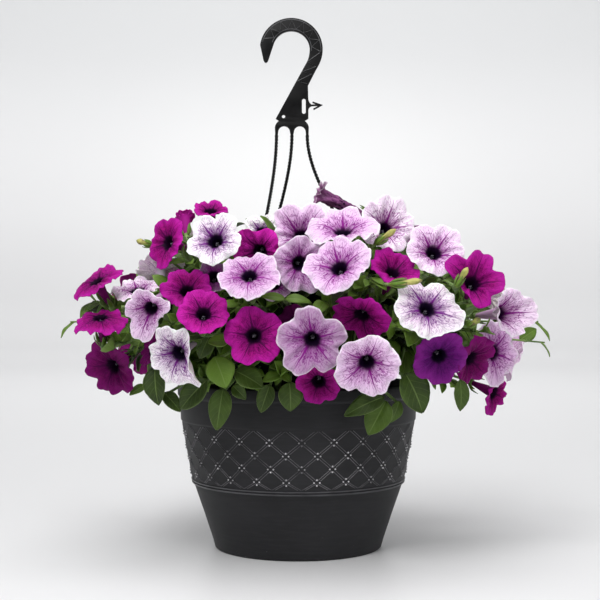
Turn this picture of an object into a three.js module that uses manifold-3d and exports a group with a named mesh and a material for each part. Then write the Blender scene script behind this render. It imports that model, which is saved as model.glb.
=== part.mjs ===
// A petunia hanging basket: a moulded pot with a diamond-lattice band, its hook and three strands,
// the potting mix, the green growth and every flower.
// Millimetres, +Z up. The origin is the centre of the underside of the pot, and the front is at -Y.
import * as THREE from "three";
import { mergeVertices } from "three/addons/utils/BufferGeometryUtils.js";
import Module from "manifold-3d";

const wasm = await Module();
wasm.setup();

// Driving dimensions of the pot
const POT_HEIGHT = 190;
const BASE_RADIUS = 97;
const RIM_RADIUS = 140;
const FLOOR = 3;
const LATTICE_CELLS = 24;
const LATTICE_TURN = 1.7;
const LATTICE_RELIEF = 0.9;
const DRAIN_HOLES = 5;

// Driving dimensions of the potting mix and the main stems
const MIX_EDGE_HEIGHT = 165;
const MIX_TOP_HEIGHT = 171;
const CROWNS = 5;
const CROWN_RING = 56;
const CROWN_RADIUS = 5;

// Driving dimensions of the hanger
const PLATE_THICKNESS = 5;
const HOOK_CENTRE = [-8.2, 577.5];
const HOOK_INNER = 21.5;
const HOOK_OUTER = 36.7;
const LEG_BOTTOM = 478;
const LEG_PLACES = [-25.4, -7.4, 10.5];
const STRAND_RADIUS = 1.6;
const LUG_RING = 126;
const LUG_TOP = 181;
const LUG_THICKNESS = 3;
const STRAND_AZIMUTHS = [242, 122, 2];

// Driving dimensions of a flower and of the growth
const TUBE_LENGTH = 30;
const MOUTH_RADIUS = 5.5;
const PETAL = 0.9;
const LOBES = 5;
const BLADE = 0.95;
const STEM_RADIUS = 1.6;
const GAP = 0.3;

const UP = new THREE.Vector3(0, 0, 1);
const radians = THREE.MathUtils.degToRad;

// Materials
const materials = {
  pot_plastic: { color: 0x2f2e31, roughness: 0.62, metalness: 0 },
  hanger_plastic: { color: 0x141414, roughness: 0.5, metalness: 0 },
  soil: { color: 0x2b1d14, roughness: 1, metalness: 0 },
  foliage: { color: 0x4a7028, roughness: 0.6, metalness: 0 },
  magenta: { color: 0xa8148a, roughness: 0.55, metalness: 0 },
  lavender: { color: 0xdcb6e0, roughness: 0.55, metalness: 0 },
  white: { color: 0xefe6f2, roughness: 0.55, metalness: 0 },
  violet: { color: 0x5a1c8c, roughness: 0.55, metalness: 0 },
};
for (const name in materials) {
  materials[name] = new THREE.MeshStandardMaterial(materials[name]);
}

const basket = new THREE.Group();

function addPart(name, geometry, material) {
  const mesh = new THREE.Mesh(geometry, materials[material]);
  mesh.name = name;
  basket.add(mesh);
}

// Closed surfaces

function geometryOf(points, faces) {
  const geometry = new THREE.BufferGeometry();
  geometry.setAttribute("position", new THREE.Float32BufferAttribute(points.flatMap((p) => p.toArray()), 3));
  geometry.setIndex(faces.flat());
  return geometry;
}

function solidOf(geometry) {
  const bare = geometry.clone();
  bare.deleteAttribute("normal");
  bare.deleteAttribute("uv");
  const merged = mergeVertices(bare, 1e-4);
  return new wasm.Manifold(
    new wasm.Mesh({
      numProp: 3,
      vertProperties: merged.attributes.position.array,
      triVerts: new Uint32Array(merged.index.array),
    }),
  );
}

function geometryFrom(solid) {
  const mesh = solid.getMesh();
  const geometry = new THREE.BufferGeometry();
  geometry.setAttribute("position", new THREE.BufferAttribute(mesh.vertProperties, 3));
  geometry.setIndex(new THREE.BufferAttribute(mesh.triVerts, 1));
  return geometry;
}

// Rings are joined from the bottom pole, up the outside and on: each ring is a list of point numbers.
// slant picks the diagonal, so that both faces of a blade can be split alike.
function joinRings(faces, low, high, slant = 0) {
  const count = low.length;
  for (let k = 0; k < count; k += 1) {
    const next = (k + 1) % count;
    const even = typeof slant === "function" ? slant(k) : slant;
    if (even) {
      faces.push([low[k], low[next], high[k]], [low[next], high[next], high[k]]);
    } else {
      faces.push([low[k], low[next], high[next]], [low[k], high[next], high[k]]);
    }
  }
}

// A ring of n points joined up to a ring of 3n points
function widenRing(faces, low, high) {
  for (let k = 0; k < low.length; k += 1) {
    const next = (k + 1) % low.length;
    const a = 3 * k;
    const end = (a + 3) % high.length;
    faces.push([low[k], high[a + 1], high[a]]);
    faces.push([low[k], high[a + 2], high[a + 1]]);
    faces.push([low[k], low[next], high[a + 2]]);
    faces.push([low[next], high[end], high[a + 2]]);
  }
}

// A ring of 3n points joined up to a ring of n points, split like the one above
function narrowRing(faces, low, high) {
  for (let k = 0; k < high.length; k += 1) {
    const next = (k + 1) % high.length;
    const a = 3 * k;
    const end = (a + 3) % low.length;
    faces.push([high[k], low[a], low[a + 1]]);
    faces.push([high[k], low[a + 1], low[a + 2]]);
    faces.push([high[k], low[a + 2], high[next]]);
    faces.push([high[next], low[a + 2], low[end]]);
  }
}

function capStart(faces, ring) {
  for (let k = 2; k < ring.length; k += 1) faces.push([ring[0], ring[k], ring[k - 1]]);
}

function capEnd(faces, ring) {
  for (let k = 2; k < ring.length; k += 1) faces.push([ring[0], ring[k - 1], ring[k]]);
}

// A stem or stalk: one ring of sides at each place, with its own radius
function tube(places, radii, sides) {
  const points = [];
  const faces = [];
  let before = null;
  let across = new THREE.Vector3(0.31, 0.87, 0.39);
  places.forEach((place, i) => {
    const from = places[Math.max(i - 1, 0)];
    const to = places[Math.min(i + 1, places.length - 1)];
    const along = to.clone().sub(from).normalize();
    across = across.clone().addScaledVector(along, -across.dot(along)).normalize();
    const third = along.clone().cross(across);
    const ring = [];
    for (let k = 0; k < sides; k += 1) {
      const turn = (2 * Math.PI * k) / sides;
      ring.push(points.length);
      points.push(
        place
          .clone()
          .addScaledVector(across, radii[i] * Math.cos(turn))
          .addScaledVector(third, radii[i] * Math.sin(turn)),
      );
    }
    if (before) joinRings(faces, before, ring);
    else capStart(faces, ring);
    before = ring;
  });
  capEnd(faces, before);
  return geometryOf(points, faces);
}

// Pot

// Radius and height of the outside, from the edge of the base to the top of the rim. The rows from
// LATTICE_ROWS carry the lattice.
const LATTICE_ROWS = [80.5, 89.9, 104.4, 118.9, 133.4, 147.5];
const BAND_BOTTOM_RADIUS = 122.8;
const BAND_TOP_RADIUS = 135.2;
const bandRadius = (z) =>
  THREE.MathUtils.mapLinear(z, LATTICE_ROWS[0], LATTICE_ROWS[5], BAND_BOTTOM_RADIUS, BAND_TOP_RADIUS);
const BELOW_BAND = [
  [BASE_RADIUS, 0],
  [BASE_RADIUS + 2.4, 11],
  [BASE_RADIUS + 24.2, 75],
  [BASE_RADIUS + 26.8, 77.5],
];
const ABOVE_BAND = [
  [BAND_TOP_RADIUS + 1, 149],
  [RIM_RADIUS - 2.8, 175],
  [RIM_RADIUS, 178],
  [RIM_RADIUS - 0.5, POT_HEIGHT],
];
const INSIDE = [
  [RIM_RADIUS - 5.5, POT_HEIGHT],
  [RIM_RADIUS - 6, 176],
  [BASE_RADIUS + 22.2, 76],
  [BASE_RADIUS - 4, FLOOR],
];

// Radius of a wall at a height, from its list of radii and heights
function wallRadius(wall, height) {
  const rows = [...wall].sort((a, b) => a[1] - b[1]);
  const above = rows.findIndex((row) => row[1] > height);
  if (above <= 0) return rows[above < 0 ? rows.length - 1 : 0][0];
  const [low, high] = [rows[above - 1], rows[above]];
  return THREE.MathUtils.mapLinear(height, low[1], high[1], low[0], high[0]);
}

function potRing(points, radiusAt, height) {
  const columns = 2 * LATTICE_CELLS;
  const ring = [];
  for (let k = 0; k < columns; k += 1) {
    const turn = radians(LATTICE_TURN - 90) + (2 * Math.PI * k) / columns;
    const radius = radiusAt(k);
    ring.push(points.length);
    points.push(new THREE.Vector3(radius * Math.cos(turn), radius * Math.sin(turn), height));
  }
  return ring;
}

function potShell() {
  const points = [];
  const faces = [];
  const rings = [];
  for (const [radius, height] of BELOW_BAND) rings.push(potRing(points, () => radius, height));
  const firstLattice = rings.length;
  LATTICE_ROWS.forEach((height, row) => {
    const crossing = (k) => (k + row) % 2 === 0;
    const relief = (k) => (row === 0 ? LATTICE_RELIEF / 2 : crossing(k) ? LATTICE_RELIEF : 0);
    rings.push(potRing(points, (k) => bandRadius(height) + relief(k), height));
  });
  for (const [radius, height] of ABOVE_BAND) rings.push(potRing(points, () => radius, height));
  for (const [radius, height] of INSIDE) rings.push(potRing(points, () => radius, height));
  capStart(faces, rings[0]);
  for (let i = 1; i < rings.length; i += 1) {
    const row = i - 1 - firstLattice;
    const inBand = row >= 0 && row < LATTICE_ROWS.length - 1;
    joinRings(faces, rings[i - 1], rings[i], inBand ? (k) => (k + row) % 2 !== 0 : 0);
  }
  capEnd(faces, rings[rings.length - 1]);
  return geometryOf(points, faces);
}

function onRing(radius, azimuth, height) {
  const turn = radians(azimuth);
  return new THREE.Vector3(radius * Math.cos(turn), radius * Math.sin(turn), height);
}

// The holed lug inside the rim that a strand's foot snaps through
function lug(azimuth) {
  const inner = LUG_RING - 6.5;
  const outer = RIM_RADIUS - 5;
  const block = new THREE.BoxGeometry(outer - inner, 14, LUG_THICKNESS);
  block.translate((inner + outer) / 2, 0, LUG_TOP - LUG_THICKNESS / 2);
  block.rotateZ(radians(azimuth));
  const hole = new THREE.CylinderGeometry(2.7, 2.7, 3 * LUG_THICKNESS, 8);
  hole.rotateX(Math.PI / 2);
  hole.translate(...onRing(LUG_RING, azimuth, LUG_TOP).toArray());
  return solidOf(block).subtract(solidOf(hole));
}

function pot() {
  let body = solidOf(potShell());
  for (const azimuth of STRAND_AZIMUTHS) body = body.add(lug(azimuth));
  for (let k = 0; k < DRAIN_HOLES; k += 1) {
    const hole = new THREE.CylinderGeometry(4, 4, 4 * FLOOR, 8);
    hole.rotateX(Math.PI / 2);
    hole.translate(...onRing(62, 18 + (360 * k) / DRAIN_HOLES, 0).toArray());
    body = body.subtract(solidOf(hole));
  }
  return geometryFrom(body);
}

addPart("pot", pot(), "pot_plastic");

// Potting mix, with a plain hole for each main stem

const crownPlace = (k, height) => onRing(CROWN_RING, 30 + (360 * k) / CROWNS, height);
const CROWN_FOOT = 138;

function pottingMix() {
  const clear = 0.5;
  const profile = [
    [0, FLOOR + GAP],
    [BASE_RADIUS - 4 - clear, FLOOR + GAP],
    [BASE_RADIUS + 22.2 - clear, 76],
    [wallRadius(INSIDE, MIX_EDGE_HEIGHT - 4) - clear, MIX_EDGE_HEIGHT - 4],
    [RIM_RADIUS - 12, MIX_EDGE_HEIGHT],
    [RIM_RADIUS - 60, MIX_TOP_HEIGHT - 1],
    [0, MIX_TOP_HEIGHT],
  ];
  const turned = new THREE.LatheGeometry(profile.map(([x, y]) => new THREE.Vector2(x, y)), 24);
  turned.rotateX(Math.PI / 2);
  turned.rotateZ(radians(LATTICE_TURN));
  let body = solidOf(turned);
  for (let k = 0; k < CROWNS; k += 1) {
    const foot = crownPlace(k, CROWN_FOOT - 2 * GAP);
    const top = crownPlace(k, MIX_TOP_HEIGHT + 5);
    body = body.subtract(solidOf(tube([foot, top], [CROWN_RADIUS + 0.5, CROWN_RADIUS + 0.5], 8)));
  }
  return geometryFrom(body);
}

addPart("potting_mix", pottingMix(), "soil");

// Hook, plate and yoke: one flat moulding

function hookOutline() {
  const [cx, cz] = HOOK_CENTRE;
  const shape = new THREE.Shape();
  shape.moveTo(12, LEG_BOTTOM);
  shape.lineTo(12.3, 486.5);
  shape.quadraticCurveTo(12, 491, 7.4, 494.4);
  shape.lineTo(11.8, 496.9);
  shape.lineTo(11.8, 507.6);
  shape.quadraticCurveTo(12.4, 510.4, 15.4, 511.6);
  shape.lineTo(23.6, 512);
  shape.lineTo(17.4, 508.6);
  shape.lineTo(18.2, 507.2);
  shape.lineTo(28.4, 512.9);
  shape.lineTo(16.8, 516.9);
  shape.lineTo(16.4, 515.5);
  shape.lineTo(21.6, 513.5);
  shape.lineTo(15.4, 513.3);
  shape.quadraticCurveTo(12.6, 515, 11.7, 519.5);
  shape.lineTo(11.3, 535.5);
  shape.lineTo(21.2, 555);
  shape.quadraticCurveTo(28.5, 566, cx + HOOK_OUTER, cz);
  shape.absarc(cx, cz, HOOK_OUTER, 0, radians(171.5), false);
  shape.lineTo(-40.6, 565);
  shape.quadraticCurveTo(-38, 559.5, -35.1, 564.6);
  shape.lineTo(cx + HOOK_INNER * Math.cos(radians(164)), cz + HOOK_INNER * Math.sin(radians(164)));
  shape.absarc(cx, cz, HOOK_INNER, radians(164), 0, true);
  shape.quadraticCurveTo(13, 567, 8.7, 560.5);
  shape.lineTo(-26.3, 496.7);
  shape.lineTo(-22.5, 494.4);
  shape.quadraticCurveTo(-27, 491, -27.3, 486.5);
  shape.lineTo(-26.9, LEG_BOTTOM);
  shape.lineTo(-23.9, LEG_BOTTOM);
  shape.lineTo(-23.4, 481.5);
  shape.absellipse(-16.6, 481.5, 6.8, 6.7, Math.PI, 0, true);
  shape.lineTo(-8.9, LEG_BOTTOM);
  shape.lineTo(-5.9, LEG_BOTTOM);
  shape.lineTo(-5, 481.5);
  shape.absellipse(1.8, 481.5, 6.8, 6.7, Math.PI, 0, true);
  shape.lineTo(9, LEG_BOTTOM);
  const slot = new THREE.Path();
  slot.moveTo(4.3, 504.7);
  slot.absarc(6.5, 504.7, 2.2, Math.PI, 2 * Math.PI, false);
  slot.absarc(6.5, 518.1, 2.2, 0, Math.PI, false);
  const eye = new THREE.Path();
  eye.absarc(-17.2, 499.4, 2, 0, 2 * Math.PI, false);
  shape.holes.push(slot, eye);
  return shape;
}

function hook() {
  const plate = new THREE.ExtrudeGeometry(hookOutline(), {
    depth: PLATE_THICKNESS,
    bevelEnabled: false,
    curveSegments: 5,
  });
  plate.rotateX(Math.PI / 2);
  plate.translate(0, PLATE_THICKNESS / 2, 0);
  return geometryFrom(solidOf(plate));
}

addPart("hook", hook(), "hanger_plastic");

// Strands: each bows out from its leg and drops to the lug at the rim

function strandCurve(azimuth, legPlace) {
  const top = new THREE.Vector3(legPlace, 0, LEG_BOTTOM - GAP);
  const foot = onRing(LUG_RING, azimuth, LUG_TOP + 5);
  const low = onRing(LUG_RING + 8, azimuth, 290);
  return new THREE.CubicBezierCurve3(top, new THREE.Vector3(legPlace, 0, 394), low, foot);
}

const strands = STRAND_AZIMUTHS.map((azimuth, i) => strandCurve(azimuth, LEG_PLACES[i]));

function strand(azimuth, curve) {
  const section = new THREE.Shape();
  section.absarc(0, 0, STRAND_RADIUS, 0, 2 * Math.PI, false);
  const cord = new THREE.ExtrudeGeometry(section, { steps: 11, curveSegments: 3, extrudePath: curve });
  const post = onRing(LUG_RING, azimuth, LUG_TOP + 7);
  const knobTop = LUG_TOP - LUG_THICKNESS - GAP;
  const foot = tube([post, onRing(LUG_RING, azimuth, knobTop - 1)], [1.8, 1.8], 6);
  const knob = tube(
    [onRing(LUG_RING, azimuth, knobTop), onRing(LUG_RING, azimuth, knobTop - 4)],
    [4.4, 2.4],
    6,
  );
  return geometryFrom(solidOf(cord).add(solidOf(foot)).add(solidOf(knob)));
}

["strand_left", "strand_middle", "strand_right"].forEach((name, i) => {
  addPart(name, strand(STRAND_AZIMUTHS[i], strands[i]), "hanger_plastic");
});

// Flowers

// Each row: petal colour, place of the throat, azimuth and elevation that the face looks to (azimuth 0
// is the front, +90 is +X), radius, roll, cup of the face, depth of the notches, and where it has them,
// the relative lengths of the five lobes and a side bent forward or back (its clock angle and how far).
const EVEN = [1, 1, 1, 1, 1];
const FLOWERS = [
  ["magenta", [-212, -145, 305], -45, 55, 30, 10, 0.08, 0.13, EVEN, [200, -0.15]],
  ["magenta", [-204, -174, 268], -5, 64, 28, 40, -0.15, 0.13],
  ["magenta", [-198, -118, 215], -33, -22, 32.5, -6, 0.3, 0.13],
  ["magenta", [-135, -160, 345], -45, 12, 27, 20, 0.23, 0.13, [1, 1, 0.95, 1.1, 0.95]],
  ["white", [-84, -187, 345], -15, 25, 30, 22, 0.3, 0.18],
  ["magenta", [-123, -100, 375], 190, 45, 11, 0, 0.3, 0.1],
  ["magenta", [-96, -90, 382], 5, 60, 19, 30, 0.3, 0.13],
  ["white", [-150, -98, 318], 200, 60, 27, 0, 0.25, 0.13],
  ["lavender", [-172, -124, 295], -20, 66, 28.5, 15, 0.2, 0.13],
  ["lavender", [-148, -196, 278], -18, -30, 26.5, -10, 0.45, 0.16, [1, 1, 0.95, 1.4, 0.5]],
  ["magenta", [-113, -190, 294], 0, 38, 26, 12, 0.35, 0.13],
  ["magenta", [-94, -220, 271], 6, 34, 26.3, 10, 0.3, 0.1],
  ["white", [-121, -190, 232], -32, -18, 31.5, 0, 0.4, 0.18, [1.3, 1, 1, 1, 1.35], [0, 0.8]],
  ["magenta", [-152, -148, 233], -60, 25, 20, 0, 0.25, 0.13],
  ["magenta", [-44, -218, 250], 0, 2, 30, -8, 0.2, 0.16],
  ["lavender", [-48, -228, 309], -5, 43, 31.5, 19, 0.13, 0.1],
  ["magenta", [-39, -175, 336], -20, -20, 29, 11, 0.35, 0.22],
  ["lavender", [1, -192, 323], 15, -5, 28, -13, 0.25, 0.12, [1, 1, 1, 1, 1.25]],
  ["lavender", [3, -138, 351], 0, 12, 30, 18, 0.5, 0.16, [1.25, 1.25, 0.9, 0.8, 0.9]],
  ["lavender", [46, -173, 354], -3, 60, 38.5, -18, 0.31, 0.1, EVEN, [180, -0.22]],
  ["lavender", [41, -228, 316], -15, 35, 35.5, 0, 0.28, 0.1, [1, 0.97, 1, 0.98, 0.78]],
  ["lavender", [50, -56, 392], -80, 24, 8.5, 0, 3.9, 0.1],
  ["lavender", [91, -133, 360], 14, 15, 31, 36, 0.55, 0.1, [1.12, 1, 0.95, 0.95, 0.95]],
  ["lavender", [139, -175, 333], 8, 28, 31, 12, 0.45, 0.1],
  ["magenta", [96, -186, 312], 20, 45, 26.5, 0, 0.48, 0.13],
  ["magenta", [175, -198, 301], 3, 27, 33.2, 30, 0.44, 0.27, [1, 1, 0.5, 0.97, 1]],
  ["white", [128, -218, 276], 12, 30, 35.5, 13, 0.15, 0.13, [0.95, 1, 0.97, 0.93, 1.08]],
  ["violet", [144, -180, 229], 14, -25, 30, 30, 0.3, 0.12],
  ["magenta", [180, -150, 225], 45, -24, 29, 0, 0.35, 0.13],
  ["magenta", [218, -60, 182], 50, -20, 19, 18, 0.35, 0.13, [1, 1, 1, 1.35, 1]],
  ["lavender", [210, -108, 229], 41, 0, 36.5, 16, 0.2, 0.13],
  ["lavender", [210, -138, 271], 40, 5, 28.3, -36, 0.8, 0.13, [1.45, 0.92, 0.85, 0.85, 0.92]],
  ["magenta", [64, -205, 271], -25, -43, 31, 20, 0.25, 0.13],
  ["lavender", [14, -226, 247], -5, -18, 35.2, -14, 0.28, 0.22, [1, 1.03, 1, 1.1, 1]],
  ["lavender", [68, -228, 225], 0, -25, 32.5, 36, 0.35, 0.1, [1, 1, 1.06, 1.06, 1]],
  ["magenta", [21, -184, 203], -5, -28, 23.5, 0, 0.35, 0.13],
  ["white", [-39, -112, 357], 0, 20, 23, 18, 0.2, 0.2],
  ["lavender", [-87, -172, 309], 0, 30, 20, 0, 0.16, 0.13],
  ["magenta", [-2, -186, 262], 0, 0, 20, 0, 0.16, 0.13],
  ["lavender", [-24, -192, 302], 0, 10, 18, 0, 0.16, 0.13],
];

function flowerFrom([colour, place, azimuth, elevation, radius, roll, cup, notch, lobes, fold], index) {
  const turn = radians(azimuth);
  const rise = radians(elevation);
  const facing = new THREE.Vector3(
    Math.sin(turn) * Math.cos(rise),
    -Math.cos(turn) * Math.cos(rise),
    Math.sin(rise),
  );
  const side = new THREE.Vector3(Math.cos(turn), Math.sin(turn), 0);
  return {
    colour,
    throat: new THREE.Vector3(...place),
    facing,
    side,
    top: facing.clone().cross(side),
    radius,
    roll: radians(roll),
    cup,
    notch,
    lobes: lobes ?? EVEN,
    foldAngle: radians(fold ? fold[0] : 0),
    fold: fold ? fold[1] : 0,
    phase: 2.4 * index,
  };
}

// The far side: rows of flowers on the mound, each with its latitude, first azimuth, step and count
const MOUND = { width: 285, depth: 228, middle: 280, rise: 128 };
const FAR_ROWS = [
  [36, 138, 42, 3],
  [4, 122, 26.5, 5],
  [-27, 96, 34, 5],
];
const FAR_COLOURS = ["lavender", "magenta", "white", "magenta", "lavender"];

function farFlowers() {
  return FAR_ROWS.flatMap(([latitude, first, step, count], row) => {
    return Array.from({ length: count }, (_, k) => {
      const azimuth = first + k * step;
      const turn = radians(azimuth);
      const reach = Math.cos(radians(latitude));
      const place = [
        MOUND.width * reach * Math.sin(turn),
        -MOUND.depth * reach * Math.cos(turn),
        MOUND.middle + MOUND.rise * Math.sin(radians(latitude)),
      ];
      const colour = FAR_COLOURS[(k + 2 * row) % FAR_COLOURS.length];
      const turned = azimuth + 8 * (k % 2);
      const raised = latitude + 8 - 6 * (k % 3);
      return [colour, place, turned, raised, 33 + 2 * (k % 2), 25 * k, 0.16, 0.13];
    });
  });
}

const flowers = [...FLOWERS, ...farFlowers()].map(flowerFrom);

// Height of the petal face above the throat plane: part runs from 0 at the throat to 1 at the edge
function faceHeight(flower, part, angle) {
  const bend = Math.max(0, Math.cos(angle - flower.foldAngle)) ** 4;
  const waves = 0.03 * Math.cos(2 * angle + flower.phase) + 0.035 * Math.cos(3 * angle + 2 * flower.phase);
  const rise = flower.cup * (1.6 * part - 0.6 * part * part);
  return flower.radius * (rise + part * part * (waves + flower.fold * bend));
}

// Radius of the petal edge at an angle: five lobes with a shallow notch between them
function edgeRadius(flower, angle) {
  const turn = (LOBES * (angle - flower.roll)) / (2 * Math.PI) - 0.5;
  const lobe = Math.floor(turn);
  const share = THREE.MathUtils.smoothstep(turn - lobe, 0, 1);
  const here = flower.lobes[(lobe + 2 * LOBES) % LOBES];
  const next = flower.lobes[(lobe + 1 + 2 * LOBES) % LOBES];
  const notch = Math.abs(Math.cos(0.5 * LOBES * (angle - flower.roll))) ** 6;
  return flower.radius * (here + (next - here) * share) * (1 - flower.notch * notch);
}

function inPlace(flower, radius, angle, height) {
  return flower.throat
    .clone()
    .addScaledVector(flower.side, radius * Math.cos(angle))
    .addScaledVector(flower.top, radius * Math.sin(angle))
    .addScaledVector(flower.facing, height);
}

function flowerGeometry(flower) {
  const points = [];
  const faces = [];
  const ring = (count, radiusAt, heightAt) => {
    const numbers = [];
    for (let k = 0; k < count; k += 1) {
      const angle = flower.roll + (2 * Math.PI * k) / count;
      numbers.push(points.length);
      points.push(inPlace(flower, radiusAt(angle), angle, heightAt(angle)));
    }
    return numbers;
  };
  const middle = 0.55;
  const middleRadius = (angle) => MOUTH_RADIUS + middle * (edgeRadius(flower, angle) - MOUTH_RADIUS);
  const foot = ring(LOBES, () => 2.4, () => -TUBE_LENGTH);
  const neck = ring(LOBES, () => MOUTH_RADIUS + 1.2, () => -2.5);
  const middleHeight = (angle) => faceHeight(flower, middle, angle);
  const backMiddle = ring(3 * LOBES, middleRadius, (angle) => middleHeight(angle) - 1.4 * PETAL);
  const backEdge = ring(
    3 * LOBES,
    (angle) => edgeRadius(flower, angle),
    (angle) => faceHeight(flower, 1, angle) - PETAL,
  );
  const edge = ring(3 * LOBES, (angle) => edgeRadius(flower, angle), (angle) => faceHeight(flower, 1, angle));
  const frontMiddle = ring(3 * LOBES, middleRadius, middleHeight);
  const mouth = ring(LOBES, () => MOUTH_RADIUS, () => 0);
  const deep = points.length;
  points.push(inPlace(flower, 0, 0, -0.6 * TUBE_LENGTH));
  capStart(faces, foot);
  joinRings(faces, foot, neck);
  widenRing(faces, neck, backMiddle);
  joinRings(faces, backMiddle, backEdge);
  joinRings(faces, backEdge, edge);
  joinRings(faces, edge, frontMiddle, 1);
  narrowRing(faces, frontMiddle, mouth);
  for (let k = 0; k < LOBES; k += 1) faces.push([mouth[k], mouth[(k + 1) % LOBES], deep]);
  return geometryOf(points, faces);
}

flowers.forEach((flower, i) => {
  const name = `flower_${String(i + 1).padStart(2, "0")}`;
  addPart(name, flowerGeometry(flower), flower.colour);
});

// Green growth: one body of a small leafy core, main stems, side stems, leaves and buds

const CORE = { height: 262, width: 185, depth: 152, rise: 84 };
const STEM_SIDES = 3;

// True where a place lies within the margin of the pot or of the mix in it
function nearPot(place, margin) {
  const reach = Math.hypot(place.x, place.y);
  if (place.z > POT_HEIGHT + margin) return false;
  if (place.z > MIX_TOP_HEIGHT + margin && reach < RIM_RADIUS - 7 - margin) return false;
  return reach < RIM_RADIUS + margin;
}

function nearStrand(place, margin) {
  return strands.some((curve) => {
    for (let k = 0; k <= 40; k += 1) {
      if (curve.getPoint(k / 40).distanceTo(place) < STRAND_RADIUS + 3 + margin) return true;
    }
    return false;
  });
}

function nearFlower(flower, place, margin) {
  const from = place.clone().sub(flower.throat);
  const height = from.dot(flower.facing);
  const x = from.dot(flower.side);
  const y = from.dot(flower.top);
  const reach = Math.hypot(x, y);
  if (height < margin && height > -TUBE_LENGTH - margin) {
    const along = THREE.MathUtils.clamp(1 + height / TUBE_LENGTH, 0, 1);
    if (reach < 2.4 + (MOUTH_RADIUS - 1.2) * along + margin) return true;
  }
  const angle = Math.atan2(y, x);
  const edge = edgeRadius(flower, angle);
  if (reach > edge + margin) return false;
  const part = THREE.MathUtils.clamp((reach - MOUTH_RADIUS) / (edge - MOUTH_RADIUS), 0, 1);
  const face = faceHeight(flower, part, angle);
  return height < face + margin && height > face - 1.4 * PETAL - margin;
}

function isClear(place, margin, own) {
  if (nearPot(place, margin) || nearStrand(place, margin)) return false;
  return !flowers.some((flower) => flower !== own && nearFlower(flower, place, margin));
}

function lineIsClear(from, to, margin, own) {
  const steps = Math.ceil(from.distanceTo(to) / 5);
  for (let k = 0; k <= steps; k += 1) {
    if (!isClear(from.clone().lerp(to, k / steps), margin, own)) return false;
  }
  return true;
}

// How far out a place lies, where 1 is the surface of the core
function coreReach(place) {
  return Math.hypot(place.x / CORE.width, place.y / CORE.depth, (place.z - CORE.height) / CORE.rise);
}

// The place inside the core that a stem grows from, in line with where it goes
function rootPlace(goal) {
  const middle = new THREE.Vector3(0, 0, CORE.height);
  return goal.clone().sub(middle).multiplyScalar(0.86 / coreReach(goal)).add(middle);
}

// The leafy core: a low dome with lumps, cut clear of the strands
function coreSolid() {
  const bushy = new THREE.SphereGeometry(1, 14, 8);
  bushy.rotateX(Math.PI / 2);
  const place = new THREE.Vector3();
  const positions = bushy.getAttribute("position");
  for (let k = 0; k < positions.count; k += 1) {
    place.fromBufferAttribute(positions, k);
    const turn = Math.atan2(place.y, place.x);
    const level = Math.abs(place.z) > 0.99 ? 0 : 1;
    place.multiplyScalar(0.97 + 0.05 * level * Math.sin(5 * turn + 7 * place.z));
    positions.setXYZ(k, place.x, place.y, place.z);
  }
  bushy.scale(CORE.width, CORE.depth, CORE.rise);
  bushy.translate(0, 0, CORE.height);
  let body = solidOf(bushy);
  for (const curve of strands) {
    const places = curve.getPoints(8);
    body = body.subtract(solidOf(tube(places, places.map(() => STRAND_RADIUS + 3.4), 4)));
  }
  return body;
}

// A stem goes straight where that is clear of the flowers, and else takes the first clear bend
function stemPlaces(root, end, side, top, own) {
  if (lineIsClear(end, root, 3, own)) return [root, end];
  const straight = root.clone().lerp(end, 0.55);
  for (const reach of [10, 20, 30, 42, 54]) {
    for (let k = 0; k < 8; k += 1) {
      const turn = (Math.PI * k) / 4;
      const bend = straight
        .clone()
        .addScaledVector(top, reach * Math.cos(turn))
        .addScaledVector(side, reach * Math.sin(turn));
      if (lineIsClear(end, bend, 3, own) && lineIsClear(bend, root, 3, own)) return [root, bend, end];
    }
  }
  return [root, end];
}

// A leaf from its base to its tip: a blade folded along its midrib and bent down, with as many rows of
// points across it as it is given
function leafGeometry(base, tip, width, face, rows) {
  const along = tip.clone().sub(base);
  const length = along.length();
  along.normalize();
  const normal = face.clone().addScaledVector(along, -face.dot(along)).normalize();
  const right = along.clone().cross(normal);
  const points = [];
  const place = (part, across, lift) => {
    const arch = 0.16 * length * (part - part * part) * 4 * 0.5;
    points.push(
      base
        .clone()
        .addScaledVector(along, part * length)
        .addScaledVector(normal, arch + lift + 0.22 * Math.abs(across))
        .addScaledVector(right, across),
    );
    return points.length - 1;
  };
  const blade = (lift) => ({
    base: place(0, 0, lift),
    left: rows.map(([part, half]) => place(part, -half * width, lift)),
    rib: rows.map(([part]) => place(part, 0, lift)),
    right: rows.map(([part, half]) => place(part, half * width, lift)),
    tip: place(1, 0, lift),
  });
  const upper = blade(0);
  const lower = blade(-BLADE);
  const faces = [];
  for (const [sheet, turned] of [[upper, false], [lower, true]]) {
    const last = rows.length - 1;
    const list = [
      [sheet.base, sheet.right[0], sheet.rib[0]],
      [sheet.base, sheet.rib[0], sheet.left[0]],
      [sheet.right[last], sheet.tip, sheet.rib[last]],
      [sheet.rib[last], sheet.tip, sheet.left[last]],
    ];
    for (let k = 0; k < last; k += 1) {
      list.push([sheet.right[k], sheet.right[k + 1], sheet.rib[k + 1]]);
      list.push([sheet.right[k], sheet.rib[k + 1], sheet.rib[k]]);
      list.push([sheet.rib[k], sheet.rib[k + 1], sheet.left[k + 1]]);
      list.push([sheet.rib[k], sheet.left[k + 1], sheet.left[k]]);
    }
    for (const [a, b, c] of list) faces.push(turned ? [a, c, b] : [a, b, c]);
  }
  const outline = (sheet) => [sheet.base, ...sheet.right, sheet.tip, ...[...sheet.left].reverse()];
  joinRings(faces, outline(lower), outline(upper));
  return geometryOf(points, faces);
}

const SMALL_ROWS = [[0.44, 0.5]];
const LARGE_ROWS = [[0.3, 0.48], [0.68, 0.38]];

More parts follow.
